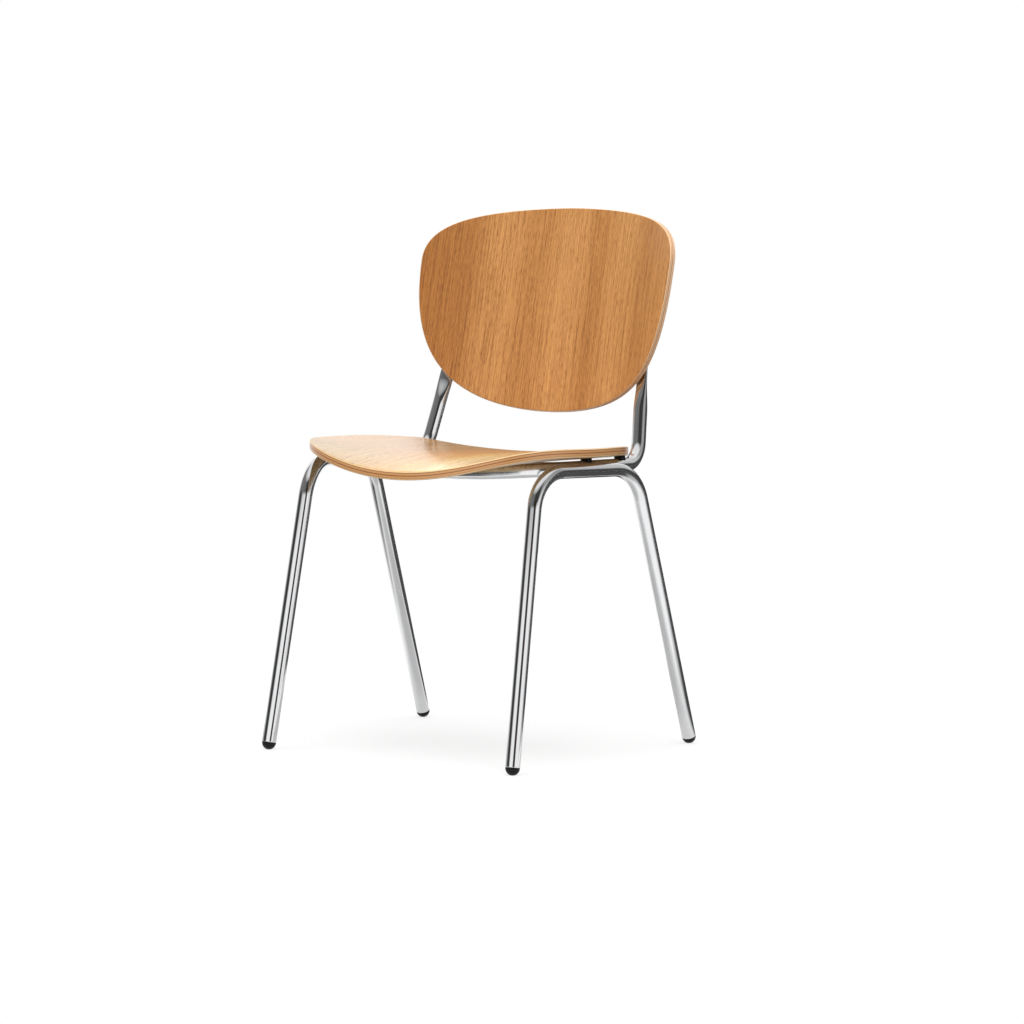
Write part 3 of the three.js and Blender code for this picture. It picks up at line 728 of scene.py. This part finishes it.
# The backrest veneer's broad stripes: place across, and how far the tone goes from pale to dark.
BACK_STRIPES = (
    (-235, 1.0), (-150, 0.85), (-125, 0.35), (-95, 0.2), (-60, 0.6), (-35, 0.5), (-5, 0.1),
    (28, 0.25), (46, 0.6), (62, 0.6), (85, 0.15), (120, 0.1), (150, 0.6), (175, 0.45), (235, 0.0),
)
BACK_FIGURE = [(place, tuple(PALE_OAK + depth * (DARK_OAK - PALE_OAK)))
               for place, depth in BACK_STRIPES]
# The seat's tones across it, and the tints that multiply them at its front: place across, and
# colour. The tones are the veneer's stripes with painted light over them, far paler than the
# backrest's; the front tints are a painted sheen, paler and bluer.
SEAT_FIGURE_AND_PAINTED_LIGHT = (
    (-235, (0.510, 0.282, 0.105)), (-120, (0.500, 0.268, 0.090)), (-70, (0.560, 0.300, 0.100)),
    (-20, (0.690, 0.328, 0.094)), (25, (0.800, 0.395, 0.108)), (60, (0.920, 0.550, 0.192)),
    (90, (0.920, 0.560, 0.202)), (125, (0.790, 0.440, 0.147)), (165, (0.610, 0.330, 0.115)),
    (235, (0.600, 0.330, 0.115)),
)
# Painted sheen: tints over the front zone that make the seat's front paler and bluer, up to 1.65
# times in blue.
SEAT_FRONT_PAINTED_SHEEN = (
    (15, (0.84, 0.95, 0.86)), (70, (1.00, 1.20, 1.65)), (175, (1.05, 1.20, 1.55)),
    (235, (1.05, 1.10, 1.20)),
)
# Along the grain, where the painted sheen starts and where it is full.
SEAT_PAINTED_SHEEN_ZONE = (-85, -150)
# Pale outer plies, tan inner ones and brown glue lines between them.
SEAT_PLIES = {"pale": (0.92, 0.63, 0.34), "tan": (0.76, 0.395, 0.160), "brown": (0.33, 0.12, 0.038)}
BACK_PLIES = {"pale": (0.92, 0.64, 0.38), "tan": (0.74, 0.48, 0.29), "brown": (0.40, 0.18, 0.075)}
PLY_ORDER = (
    (0.00, "pale"), (0.14, "pale"), (0.17, "brown"), (0.21, "brown"), (0.24, "tan"),
    (0.43, "tan"), (0.46, "brown"), (0.53, "brown"), (0.57, "tan"), (0.76, "tan"),
    (0.79, "brown"), (0.82, "tan"), (0.87, "pale"), (1.00, "pale"),
)


def oak(name, thickness, shift, tones_across, plies, coat_roughness, front=None):
    """Lacquered oak plywood. The grain attribute holds across, along and depth. The veneer's broad
    figure is a run of tones across it, which on the seat carries painted light as well; fine lines,
    hairs and short dashes run along the grain and darken or lighten it. front is a zone along the
    grain and a run of tints across: there the veneer is multiplied by those tints, a painted sheen,
    and gets small flecks. The edge shows the plies by depth, with brown glue lines and end grain."""
    f = Finish(name, Coat_Weight=1.0, Coat_Roughness=coat_roughness, Coat_IOR=1.5,
               Specular_IOR_Level=0.2)
    grain = f.add("Attribute", {}, "Vector", attribute_name="grain")
    wander = f.noise(f.stretch(grain, (6, 2.6, 0), shift))
    sideways = f.add("CombineXYZ", {"X": f.span(wander, 0, 1, -GRAIN_WANDER, GRAIN_WANDER)})
    sway = f.add("VectorMath", {0: grain, 1: sideways}, operation="ADD")
    place = f.span(f.channel(sway, 0), -FIGURE_REACH * MM, FIGURE_REACH * MM)

    def run_across(stops):
        return f.ramp(place, *((0.5 + x / FIGURE_REACH / 2, colour) for x, colour in stops))

    def fibres(across, along, roughness, detail=2.0):
        return f.noise(f.stretch(sway, (across, along, 0), shift), 1.0, detail, roughness)

    streaks, lines = fibres(170, 2.4, 0.5), fibres(430, 5, 0.6)
    hairs, dashes = fibres(860, 13, 0.6), fibres(620, 88, 0.6)
    shade = f.weigh((0.22, streaks), (0.40, lines), (0.48, hairs), (0.44, dashes))
    shade = f.ramp(f.span(shade, 0.62, 0.92), (0.0, (0.58, 0.47, 0.35)), (0.5, (1.0, 1.0, 1.0)),
                   (1.0, (1.23, 1.30, 1.40)))
    tone = f.tinted(run_across(tones_across), shade)
    pore = f.math("MULTIPLY", f.span(fibres(1300, 50, 0.55), 0.58, 0.70),
                  f.span(lines, 0.35, 0.6, 0.3, 1.0))
    tone = f.mix(f.math("MULTIPLY", pore, 0.5), tone, f.tinted(tone, (0.55, 0.45, 0.36)))

    # A painted sheen: over the front zone the tones are multiplied by the front tints, and small
    # flecks darken them.
    if front:
        (start, end), sheen_tints = front
        share = f.span(f.channel(sway, 1), start * MM, end * MM)
        tone = f.mix(share, tone, f.tinted(tone, run_across(sheen_tints)))
        spot = f.math("MULTIPLY", share, f.span(fibres(210, 120, 0.7, 3), 0.52, 0.66))
        tone = f.mix(f.math("MULTIPLY", spot, 0.7), tone, f.tinted(tone, (0.80, 0.72, 0.60)))

    depth = f.channel(grain, 2)
    waver = f.span(f.noise(f.stretch(grain, (14, 14, 0), (1.3, 0.2, 0))), 0, 1, -0.02, 0.02)
    level = f.math("ADD", f.math("DIVIDE", depth, thickness * MM), waver)
    edge = f.ramp(level, *((spot, plies[ply]) for spot, ply in PLY_ORDER))
    end_grain = f.noise(f.stretch(grain, (900, 900, 2500), shift), detail=3)
    edge = f.mix(f.span(end_grain, 0.3, 0.7, 0.1, 0.6), edge, f.tinted(edge, (0.72, 0.66, 0.6)))
    below, above = ([from_face * MM for from_face in depths] for depths in (
        VENEER_DEPTHS, [thickness - d for d in VENEER_DEPTHS]))
    inside = f.math("MULTIPLY", f.span(depth, *below), f.span(depth, *above), clamp=True)

    rough = f.math("ADD", f.span(streaks, 0.3, 0.7, 0.42, 0.55), f.math("MULTIPLY", inside, 0.08))
    relief = f.math("ADD", f.math("MULTIPLY", pore, -1.0), f.math("MULTIPLY", hairs, 0.35))
    orange_peel = f.noise(f.stretch(grain, (40, 30, 30)), detail=1)
    coat = f.math("ADD", orange_peel, f.math("MULTIPLY", pore, -0.06))
    f.surface(Base_Color=f.mix(inside, tone, edge), Roughness=rough,
              Normal=f.bump(relief, GRAIN_RELIEF, 0.6), Coat_Normal=f.bump(coat, COAT_RELIEF, 0.3))
    return f.material


CHROME = chrome()
ZINC = zinc()
GLIDE_PLASTIC = black_plastic("black_glide_plastic", scuff_height=0.006)
BLACK_PLASTIC = black_plastic("black_plastic")
# The seat's tones carry painted light, and its front a painted sheen.
OAK_SEAT = oak("oak_seat", SEAT_THICKNESS, (0.7, 0.3, 0), SEAT_FIGURE_AND_PAINTED_LIGHT, SEAT_PLIES, 0.22,
               (SEAT_PAINTED_SHEEN_ZONE, SEAT_FRONT_PAINTED_SHEEN))
OAK_BACK = oak("oak_backrest", BACK_THICKNESS, (0.2, 0.9, 0), BACK_FIGURE, BACK_PLIES, 0.40)

# ---- Seat and backrest ----------------------------------------------------------------

plywood("seat", seat_outline(), SEAT_FACE_CORNERS, FACE_QUADS, SEAT_THICKNESS, SEAT_ARRIS, on_seat,
        OAK_SEAT, "seat_shell")
plywood("backrest", back_outline(), BACK_FACE_CORNERS, FACE_QUADS, BACK_THICKNESS, BACK_ARRIS,
        on_back, OAK_BACK, "backrest_shell")

# ---- Frame ----------------------------------------------------------------------------


def bow(y, half_span, radius):
    """Middle corner and bend radius of a member that sags just clear of the seat's underside."""
    underside = seat_height(0.0, y) - SEAT_THICKNESS / seat_normal(0.0, y)[2]
    sag = SEAT_FRAME_HEIGHT - (underside - MEMBER_CLEARANCE - radius)
    drop = sag / (1 - BOW_SHARE / 2)
    return vec(0, y, SEAT_FRAME_HEIGHT - drop), BOW_SHARE * half_span**2 / drop


bow_middle, bow_radius = bow(FRONT_MEMBER_Y, RUN_FRONT_X, TUBE_RADIUS)
seat_back_corners = [
    upright_point(UPRIGHT_HEIGHT), upright_point(0), run_point(FRONT_MEMBER_Y), bow_middle,
    mirrored(run_point(FRONT_MEMBER_Y), -1), mirrored(upright_point(0), -1),
    mirrored(upright_point(UPRIGHT_HEIGHT), -1),
]
seat_back_path = tube_path(
    seat_back_corners, [UPRIGHT_BEND, RUN_CORNER, bow_radius, RUN_CORNER, UPRIGHT_BEND],
    UPRIGHT_STEPS,
)
seat_back_wall = tube_wall(*seat_back_path, TUBE_RADIUS, TUBE_RADIUS - TUBE_WALL, vec(1, 0, 1))
make_grid("seat_and_back_tube", pressed(seat_back_wall), CHROME, "seat_back_tube", poles=False)

FOOT_HEIGHT = (TUBE_RADIUS**2 - GLIDE_FLAT**2) ** 0.5


def glide(name, centre, direction, node):
    """A domed foot turned about its leg's line, cut off flat at the floor, with a thin collar
    and a stem that plugs into the leg."""
    stem_top = GLIDE_COLLAR + GLIDE_STEM
    dome = np.radians(np.linspace(-90, 0, 28))
    profile = np.concatenate([
        GLIDE_RADIUS * np.column_stack([np.cos(dome), np.sin(dome)]),
        [[GLIDE_RADIUS, GLIDE_COLLAR - EDGE_ROUND], [GLIDE_RADIUS - EDGE_ROUND, GLIDE_COLLAR],
         [STEM_RADIUS, GLIDE_COLLAR], [STEM_RADIUS, stem_top - 1],
         [STEM_RADIUS - 1, stem_top], [0, stem_top]],
    ])
    grid = turned(profile, centre, direction, TUBE_SIDES)
    grid[..., 2] = np.maximum(grid[..., 2], 0)
    make_grid(name, grid, GLIDE_PLASTIC, node, sharp=60)


def spacer(name, start, start_axis, end, end_axis, node):
    """A short round bar between a run and a side rail, welded to both."""
    ring, along = circle_about(end - start, BAR_SIDES)
    bar = (start + end) / 2, ring
    near = welded_end(*bar, -along, SPACER_RADIUS, SPACER_BEAD, start, start_axis)
    far = welded_end(*bar, along, SPACER_RADIUS, SPACER_BEAD, end, end_axis)
    make_grid(name, welded_bar(near, (), far), CHROME, node, sharp=60)


dome = np.linspace(0, np.pi / 2, 16)
PLUG_PROFILE = np.concatenate([
    [[0, -PLUG_STEM], [STEM_RADIUS - 1, -PLUG_STEM], [STEM_RADIUS, 1 - PLUG_STEM],
     [STEM_RADIUS, CONTACT_GAP], [TUBE_RADIUS - EDGE_ROUND, CONTACT_GAP],
     [TUBE_RADIUS, CONTACT_GAP + EDGE_ROUND]],
    np.column_stack([TUBE_RADIUS * np.cos(dome), PLUG_COLLAR + PLUG_DOME * np.sin(dome)]),
])

for side_name, side in SIDES:
    feet = [vec(side * FRONT_FOOT[0], FRONT_FOOT[1], FOOT_HEIGHT),
            vec(side * REAR_FOOT[0], REAR_FOOT[1], FOOT_HEIGHT)]
    tops = [vec(side * RAIL_FRONT[0], RAIL_FRONT[1], RAIL_HEIGHT),
            vec(side * RAIL_REAR[0], RAIL_REAR[1], RAIL_HEIGHT)]
    lines = [unit(top - foot) for foot, top in zip(feet, tops)]
    leg_ends = [foot + (GLIDE_COLLAR + CONTACT_GAP) * line for foot, line in zip(feet, lines)]
    path = tube_path([leg_ends[0], tops[0], tops[1], leg_ends[1]], [FRONT_BEND, REAR_BEND])
    wall = tube_wall(*path, TUBE_RADIUS, TUBE_RADIUS - TUBE_WALL, vec(1, 0, 0))
    make_grid(f"side_frame_tube_{side_name}", wall, CHROME, f"side_frame_{side_name}", poles=False)
    for end, foot, line in zip(("front", "rear"), feet, lines):
        glide(f"foot_glide_{end}_{side_name}", foot, line, f"glide_{end}_{side_name}")

    for end, y in SPACERS_Y:
        inner, outer = mirrored(run_point(y), side), vec(side * rail_x(y), y, RAIL_HEIGHT)
        spacer(f"spacer_bar_{end}_{side_name}", inner, run_axis(side), outer,
               unit(tops[1] - tops[0]), f"frame_spacer_{end}_{side_name}")

    top = mirrored(upright_point(UPRIGHT_HEIGHT), side)
    plug = turned(PLUG_PROFILE, top, mirrored(UPRIGHT_SLOPE, side), 96)
    make_grid(f"upright_end_plug_{side_name}", pressed(plug), BLACK_PLASTIC,
              f"upright_plug_{side_name}", sharp=60)

# The rear tie, bowed below the seat, with its ends coped to the runs.
tie_end = run_point(REAR_TIE_Y)
tie_middle, tie_bend = bow(REAR_TIE_Y, tie_end[0], TIE_RADIUS)
tie_points, tie_tangents = tube_path([tie_end, tie_middle, mirrored(tie_end, -1)], [tie_bend])
tie_points, tie_tangents = tie_points[1:-1], tie_tangents[1:-1]
tie_rings = sections(tie_points, tie_tangents, np.full(len(tie_points), TIE_RADIUS), vec(0, 1, 0))
tie_ends = [
    welded_end(tie_points[i], unit(tie_rings[i] - tie_points[i]),
               unit(mirrored(tie_end, side) - tie_middle), TIE_RADIUS, TIE_BEAD,
               mirrored(tie_end, side), run_axis(side))
    for i, side in ((0, 1.0), (-1, -1.0))
]
make_grid("rear_tie", welded_bar(tie_ends[0], (tie_rings,), tie_ends[1]), CHROME,
          "rear_tie_tube", sharp=60)

# ---- Fixings --------------------------------------------------------------------------


def hexagon(angle):
    """Radius of a hexagon over its inner radius, at an angle from the middle of one side."""
    return 1 / np.cos(np.mod(angle + np.pi / 6, np.pi / 3) - np.pi / 6)


def screw(name, origin, direction, distance, insert_length, bearing, node):
    """A button head with a hexagonal socket, and a shank that reaches the end of the insert. The
    socket's points move out from the screw's line by the hexagon, fading over its rim."""
    head_foot = CONTACT_GAP - bearing - HEAD_HEIGHT
    length = distance + insert_length - TOUCH_GAP - head_foot
    flat = SOCKET_RADIUS * cos(np.pi / 6)
    socket = [[0, SOCKET_DEPTH], [flat * 0.5, SOCKET_DEPTH], [flat, SOCKET_DEPTH - 0.05],
              [flat, 0.25], [flat + 0.1, 0.1], [flat + SOCKET_RIM, 0.0]]
    dome = np.radians(np.linspace(30, 86, 12))
    head = np.column_stack([HEAD_RADIUS * np.sin(dome), HEAD_HEIGHT * 0.93 * (1 - np.cos(dome))])
    shank = [[HEAD_RADIUS, HEAD_HEIGHT - 0.25], [HEAD_RADIUS - 0.1, HEAD_HEIGHT],
             [SHANK_RADIUS, HEAD_HEIGHT], [SHANK_RADIUS, length - SHANK_CHAMFER],
             [SHANK_RADIUS - SHANK_CHAMFER, length], [0, length]]
    profile = np.concatenate([socket, head, shank]) + [0, head_foot]
    weight = np.clip(1 - (profile[:, :1] - flat) / SOCKET_RIM, 0, 1)
    weight[len(socket):] = 0
    angle = np.linspace(0, 2 * np.pi, SCREW_SIDES, endpoint=False)
    line = origin + profile[:, 1][:, None, None] * unit(direction)
    scale = 1 + weight * (hexagon(angle) - 1)
    grid = line + scale[..., None] * (turned(profile, origin, direction, SCREW_SIDES) - line)
    make_grid(name, grid, ZINC, node, sharp=32)


def insert(name, origin, direction, distance, length, node):
    """A threaded insert: a sleeve whose outside carries shallow rings."""
    steps = np.linspace(0, 1, INSERT_STEPS)
    ridge = INSERT_RIDGE_DEPTH * np.abs(np.sin(np.pi * steps * INSERT_RIDGES))
    bottom, top = distance + TOUCH_GAP, distance + TOUCH_GAP + length
    outside = np.column_stack([INSERT_RADIUS - ridge, bottom + steps * length])
    bore = SHANK_RADIUS + TOUCH_GAP
    profile = np.concatenate([outside, [[bore, top], [bore, bottom]]])
    make_grid(name, turned(profile, origin, direction), ZINC, node, poles=False, sharp=45)


def saddle(name, origin, direction, distance, bearing, axis, node):
    """A washer whose underside sits on the tube, hollowed where that is round: at each angle its
    lower edge is where that line meets the tube's wall."""
    ring, along = circle_about(direction, SADDLE_SIDES)
    top = distance - CONTACT_GAP
    rounding = np.linspace(0, np.pi / 2, 5)
    rim = SADDLE_RADIUS - SADDLE_ROUND + SADDLE_ROUND * np.cos(rounding)
    radius = np.concatenate([
        [HOLE_RADIUS, SADDLE_RADIUS - SADDLE_CHAMFER, SADDLE_RADIUS], rim, [HOLE_RADIUS]])
    above = 3 * TUBE_RADIUS
    start = origin + above * along + radius[:, None, None] * ring
    low = above - reach_to_tube(start, -along, origin, axis, TUBE_RADIUS + CONTACT_GAP)
    if bearing != TUBE_RADIUS:
        low[:] = bearing + CONTACT_GAP
    height = np.full_like(low, top)
    height[:2] = low[:2]
    height[2] = low[2] + SADDLE_CHAMFER
    height[3:8] = top - SADDLE_ROUND + SADDLE_ROUND * np.sin(rounding)[:, None]
    grid = origin + radius[:, None, None] * ring + height[..., None] * along
    make_grid(name, grid, BLACK_PLASTIC, node, poles=False)


def fixing(label, origin, direction, distance, insert_length, bearing, axis):
    """Screw, insert and saddle on one line. distance is from the tube's line to the plywood, and
    bearing from that line to the tube's wall."""
    at = (origin, direction, distance)
    screw(f"{label}_button_screw", *at, insert_length, bearing, f"{label}_screw")
    insert(f"{label}_threaded_insert", *at, insert_length, f"{label}_insert")
    saddle(f"{label}_saddle_washer", *at, bearing, axis, f"{label}_saddle")


for side_name, side in SIDES:
    for end, y in SEAT_FIXINGS_Y:
        origin = mirrored(run_point(y), side)
        direction = seat_normal(origin[0], origin[1])
        distance = (seat_height(origin[0], origin[1]) - origin[2]) * direction[2] - SEAT_THICKNESS
        fixing(f"seat_{end}_{side_name}", origin, direction, distance, SEAT_INSERT_LENGTH,
               TUBE_RADIUS, run_axis(side))
    for end, height in BACK_FIXING_HEIGHTS:
        origin = mirrored(upright_point(height), side)
        to_axis = mirrored(toward_back(upright_point(height)), side)
        distance = np.linalg.norm(to_axis) - BACK_RADIUS - BACK_THICKNESS
        fixing(f"back_{end}_{side_name}", origin, unit(to_axis), distance, BACK_INSERT_LENGTH,
               FLAT_HALF, unit(mirrored(UPRIGHT_SLOPE, side)))

# ---- Camera ---------------------------------------------------------------------------

CAMERA_PLACE = Vector((2.54634, -4.10394, 0.65457))
CAMERA_TURN = radians(31.339)
CAMERA_DROP = radians(3.805)
CAMERA_ROLL = radians(1.145)
FOCAL_LENGTH = 119.525
SENSOR_WIDTH = 36.0
FARTHEST_SEEN = 200.0

level_right = Vector((cos(CAMERA_TURN), sin(CAMERA_TURN), 0))
level_ahead = Vector((-sin(CAMERA_TURN), cos(CAMERA_TURN), 0))
forward = cos(CAMERA_DROP) * level_ahead - sin(CAMERA_DROP) * Vector(UP)
level_up = level_right.cross(forward)
right = cos(CAMERA_ROLL) * level_right + sin(CAMERA_ROLL) * level_up
up = right.cross(forward)
lens = bpy.data.cameras.new("camera")
lens.sensor_width, lens.lens, lens.clip_end = SENSOR_WIDTH, FOCAL_LENGTH, FARTHEST_SEEN
camera = bpy.data.objects.new("camera", lens)
bpy.context.scene.collection.objects.link(camera)
turn = Matrix((right, up, -forward)).transposed().to_4x4()
camera.matrix_world = Matrix.Translation(CAMERA_PLACE) @ turn
bpy.context.scene.camera = camera

# ---- Floor, flags, lights and world ---------------------------------------------------

# The studio's main direction, as a turn from -Y, and the flat axes along and across it.
STUDIO_TURN = radians(31.339)
STUDIO_RIGHT = np.array([cos(STUDIO_TURN), sin(STUDIO_TURN), 0.0])
STUDIO_AWAY = np.array([-sin(STUDIO_TURN), cos(STUDIO_TURN), 0.0])
STUDIO_SIDES = 96
FLOOR_RINGS = (6000.0, 3000.0, 1500.0, 600.0)
CLOTH_HOLE, CLOTH_REACH, CLOTH_RINGS = 10.0, 2900.0, 12
SHELL_REACH, SHELL_RINGS = 3000.0, 30
SHELL_EYE = 400.0
# Rises from the shell's eye between which its low flags give way to the high ones, and those
# between which all its cloth grows thin.
LOW_TO_HIGH = (radians(10), radians(18))
OVERHEAD = (radians(47), radians(62))
OVERHEAD_DENSITY = 0.15
# How dense the cloth is at a turn round the chair from the main direction, in degrees.
LOW_FLAGS = (
    (-180, 0.0), (-138, 0.0), (-112, 0.65), (-94, 0.96), (-62, 0.96), (-48, 0.25), (-42, 0.0),
    (66, 0.0), (82, 0.5), (94, 0.94), (160, 0.95), (176, 0.0),
)
HIGH_FLAGS = (
    (-180, 0.0), (-142, 0.0), (-118, 0.8), (-30, 0.83), (0, 0.96), (40, 0.96), (62, 0.62),
    (90, 0.66), (108, 0.40), (132, 0.35), (150, 0.0), (180, 0.0),
)


def stage_sheet(name, rings, finish, pole=None):
    """A sheet of the studio from rings round the upright axis, closed at a pole if it has one."""
    faces = [grid_faces(*rings.shape[:2], False, True)]
    points = rings.reshape(-1, 3)
    if pole is not None:
        faces.append(ring_faces(np.arange(len(points))[-rings.shape[1]:], len(points)))
        points = np.concatenate([points, [pole]])
    return make_piece(name, points, faces, finish.material)


def seen_in_reflections(card):
    """Hides a flag from all rays but those that a glossy surface sends out."""
    card.visible_camera = card.visible_diffuse = card.visible_shadow = False
    card.visible_transmission = card.visible_volume_scatter = False


def cloth(name, *colour):
    """Dead matt cloth."""
    return Finish(name, Base_Color=(*colour, 1), Roughness=1.0, Specular_IOR_Level=0.0)


def turn_share(f, at):
    """Share of a full turn round the chair, with the studio's main direction at a half."""
    x, y = f.channel(at, 0), f.channel(at, 1)
    angle = f.math("ARCTAN2", x, f.math("MULTIPLY", y, -1.0))
    angle = f.math("WRAP", f.math("SUBTRACT", angle, STUDIO_TURN), np.pi, -np.pi)
    return f.span(angle, -np.pi, np.pi)


def flags(f, share, stops):
    """How dense the flags are at a share of the turn, eased between stops."""
    return f.ramp(share, *(((turn + 180) / 360, level) for turn, level in stops), ease="EASE")


def floor_finish():
    """Pale floor that keeps a soft share of the chair's shadow and fades into white."""
    f = Finish("studio_floor", Base_Color=(0.86, 0.86, 0.86, 1), Roughness=0.9,
               Specular_IOR_Level=0.0)
    f.let_through(f.span(f.length(f.place()), 0.4, 2.2, 0.28, 0.0))
    return f


def shell_finish():
    """Black flags on a shell: the low ones near the floor, the high ones above them."""
    f = cloth("flag_cloth", 0.01, 0.01, 0.01)
    at = f.place()
    share, height = turn_share(f, at), f.channel(at, 2)
    rise = f.span(height, *((SHELL_EYE + SHELL_REACH * tan(angle)) * MM for angle in LOW_TO_HIGH))
    density = f.mix(rise, flags(f, share, LOW_FLAGS), flags(f, share, HIGH_FLAGS))
    thin = f.span(height, *(SHELL_REACH * sin(angle) * MM for angle in OVERHEAD), 1.0,
                  OVERHEAD_DENSITY)
    f.let_through(f.math("MULTIPLY", density, thin))
    return f


def floor_cloth_finish():
    """The low flags carried on over the floor, and a soft dark patch under the chair."""
    f = cloth("floor_cloth", 0.01, 0.01, 0.01)
    at = f.place()
    reach = f.length(at)
    density = f.math("MULTIPLY", flags(f, turn_share(f, at), LOW_FLAGS), f.span(reach, 0.32, 0.5))
    f.let_through(f.math("MAXIMUM", density, f.span(reach, 0.22, 0.42, 0.4, 0.0)))
    return f


def flag_card(name, away, sides, rises, density, soft):
    """Flat black cloth square to the main direction: a grid over the sideways reach and the
    height, thinner towards its two sides over the soft widths."""
    side = np.linspace(*sides, 17)[None, :, None]
    rise = np.array(rises, float)[:, None, None]
    grid = away * STUDIO_AWAY + side * STUDIO_RIGHT + rise * UP
    f = cloth(name + "_cloth", 0.03, 0.02, 0.015)
    across = f.add("VectorMath", {0: f.place(), 1: tuple(STUDIO_RIGHT)}, "Value",
                   operation="DOT_PRODUCT")
    first = f.span(across, sides[0] * MM, (sides[0] + soft[0]) * MM, 0.0, density)
    last = f.span(across, sides[1] * MM, (sides[1] - soft[1]) * MM)
    f.let_through(f.math("MULTIPLY", first, last))
    seen_in_reflections(make_piece(name, grid.reshape(-1, 3), [grid_faces(2, 17)], f.material))


def discs(reaches, height):
    """Flat rings of given radii at a height."""
    profile = np.column_stack([reaches, np.zeros(len(reaches))])
    return turned(profile, vec(0, 0, height), UP, STUDIO_SIDES)


stage_sheet("floor", discs(FLOOR_RINGS, -0.05), floor_finish(), vec(0, 0, -0.05))

rise = np.linspace(0, np.pi / 2, SHELL_RINGS)
shell = turned(SHELL_REACH * np.column_stack([np.cos(rise), np.sin(rise)]), vec(0, 0, 0), UP,
               STUDIO_SIDES)
seen_in_reflections(stage_sheet("flag_tent", shell[:-1], shell_finish(), shell[-1, 0]))
cloth_rings = np.linspace(CLOTH_HOLE, CLOTH_REACH, CLOTH_RINGS)
seen_in_reflections(stage_sheet("flag_floor_cloth", discs(cloth_rings, 1.0), floor_cloth_finish()))

# One card behind the right half of the chair, one in front of it.
flag_card("flag_card_back", 600.0, (-115.0, 460.0), (380.0, 800.0), 0.88, (60.0, 60.0))
flag_card("flag_card_front", -1690.0, (-180.0, 900.0), (2.0, 1150.0), 0.97, (180.0, 260.0))

# Grey cloth below the floor, for diffuse light alone: less light comes from below than above.
underlay_rings = np.linspace(CLOTH_HOLE, SHELL_REACH, CLOTH_RINGS)
underlay = stage_sheet("underlay", discs(underlay_rings, -2.0),
                       cloth("underlay_cloth", 0.14, 0.14, 0.14))
underlay.visible_camera = underlay.visible_glossy = underlay.visible_transmission = False
underlay.visible_shadow = underlay.visible_volume_scatter = False

# Name, place, aim, width, height, power, and whether reflections show it.
SOFTBOXES = (
    ("softbox_key", (3.6, -2.6, 3.4), (0, 0, 0.5), 2.0, 2.0, 68, False),
    ("softbox_fill", (-2.8, -3.6, 2.6), (0, 0, 0.5), 2.0, 2.0, 62, False),
    ("softbox_top", (0.1, -0.5, 4.0), (0, 0, 0.4), 2.6, 2.6, 120, False),
    ("softbox_back", (-1.85, 2.6, 2.1), (0, 0, 0.45), 2.2, 1.4, 4, True),
)
for name, place, aim, width, height, power, glossy in SOFTBOXES:
    light = bpy.data.lights.new(name, "AREA")
    light.shape, light.size, light.size_y, light.energy = "RECTANGLE", width, height, power
    lamp = bpy.data.objects.new(name, light)
    bpy.context.scene.collection.objects.link(lamp)
    lamp.location = place
    lamp.rotation_euler = (Vector(aim) - Vector(place)).to_track_quat("-Z", "Y").to_euler()
    lamp.visible_camera, lamp.visible_glossy = False, glossy

# The world is white to the eye and in reflections, and dimmer where it lights the chair.
AMBIENT = 0.62
world = bpy.data.worlds.new("white_studio")
bpy.context.scene.world = world
world.use_nodes = True
w = NodeMaker(world.node_tree)
camera_ray, glossy_ray, clear_ray = (
    w.add("LightPath", {}, f"Is {kind} Ray") for kind in ("Camera", "Glossy", "Transmission"))
seen = w.math("MAXIMUM", w.math("MAXIMUM", camera_ray, glossy_ray), clear_ray)
background = world.node_tree.nodes["Background"]
w.set(background, "Strength", w.span(seen, 0.0, 1.0, AMBIENT, 1.0))
w.set(background, "Color", (1, 1, 1, 1))

view = bpy.context.scene.view_settings
view.view_transform = "Standard"
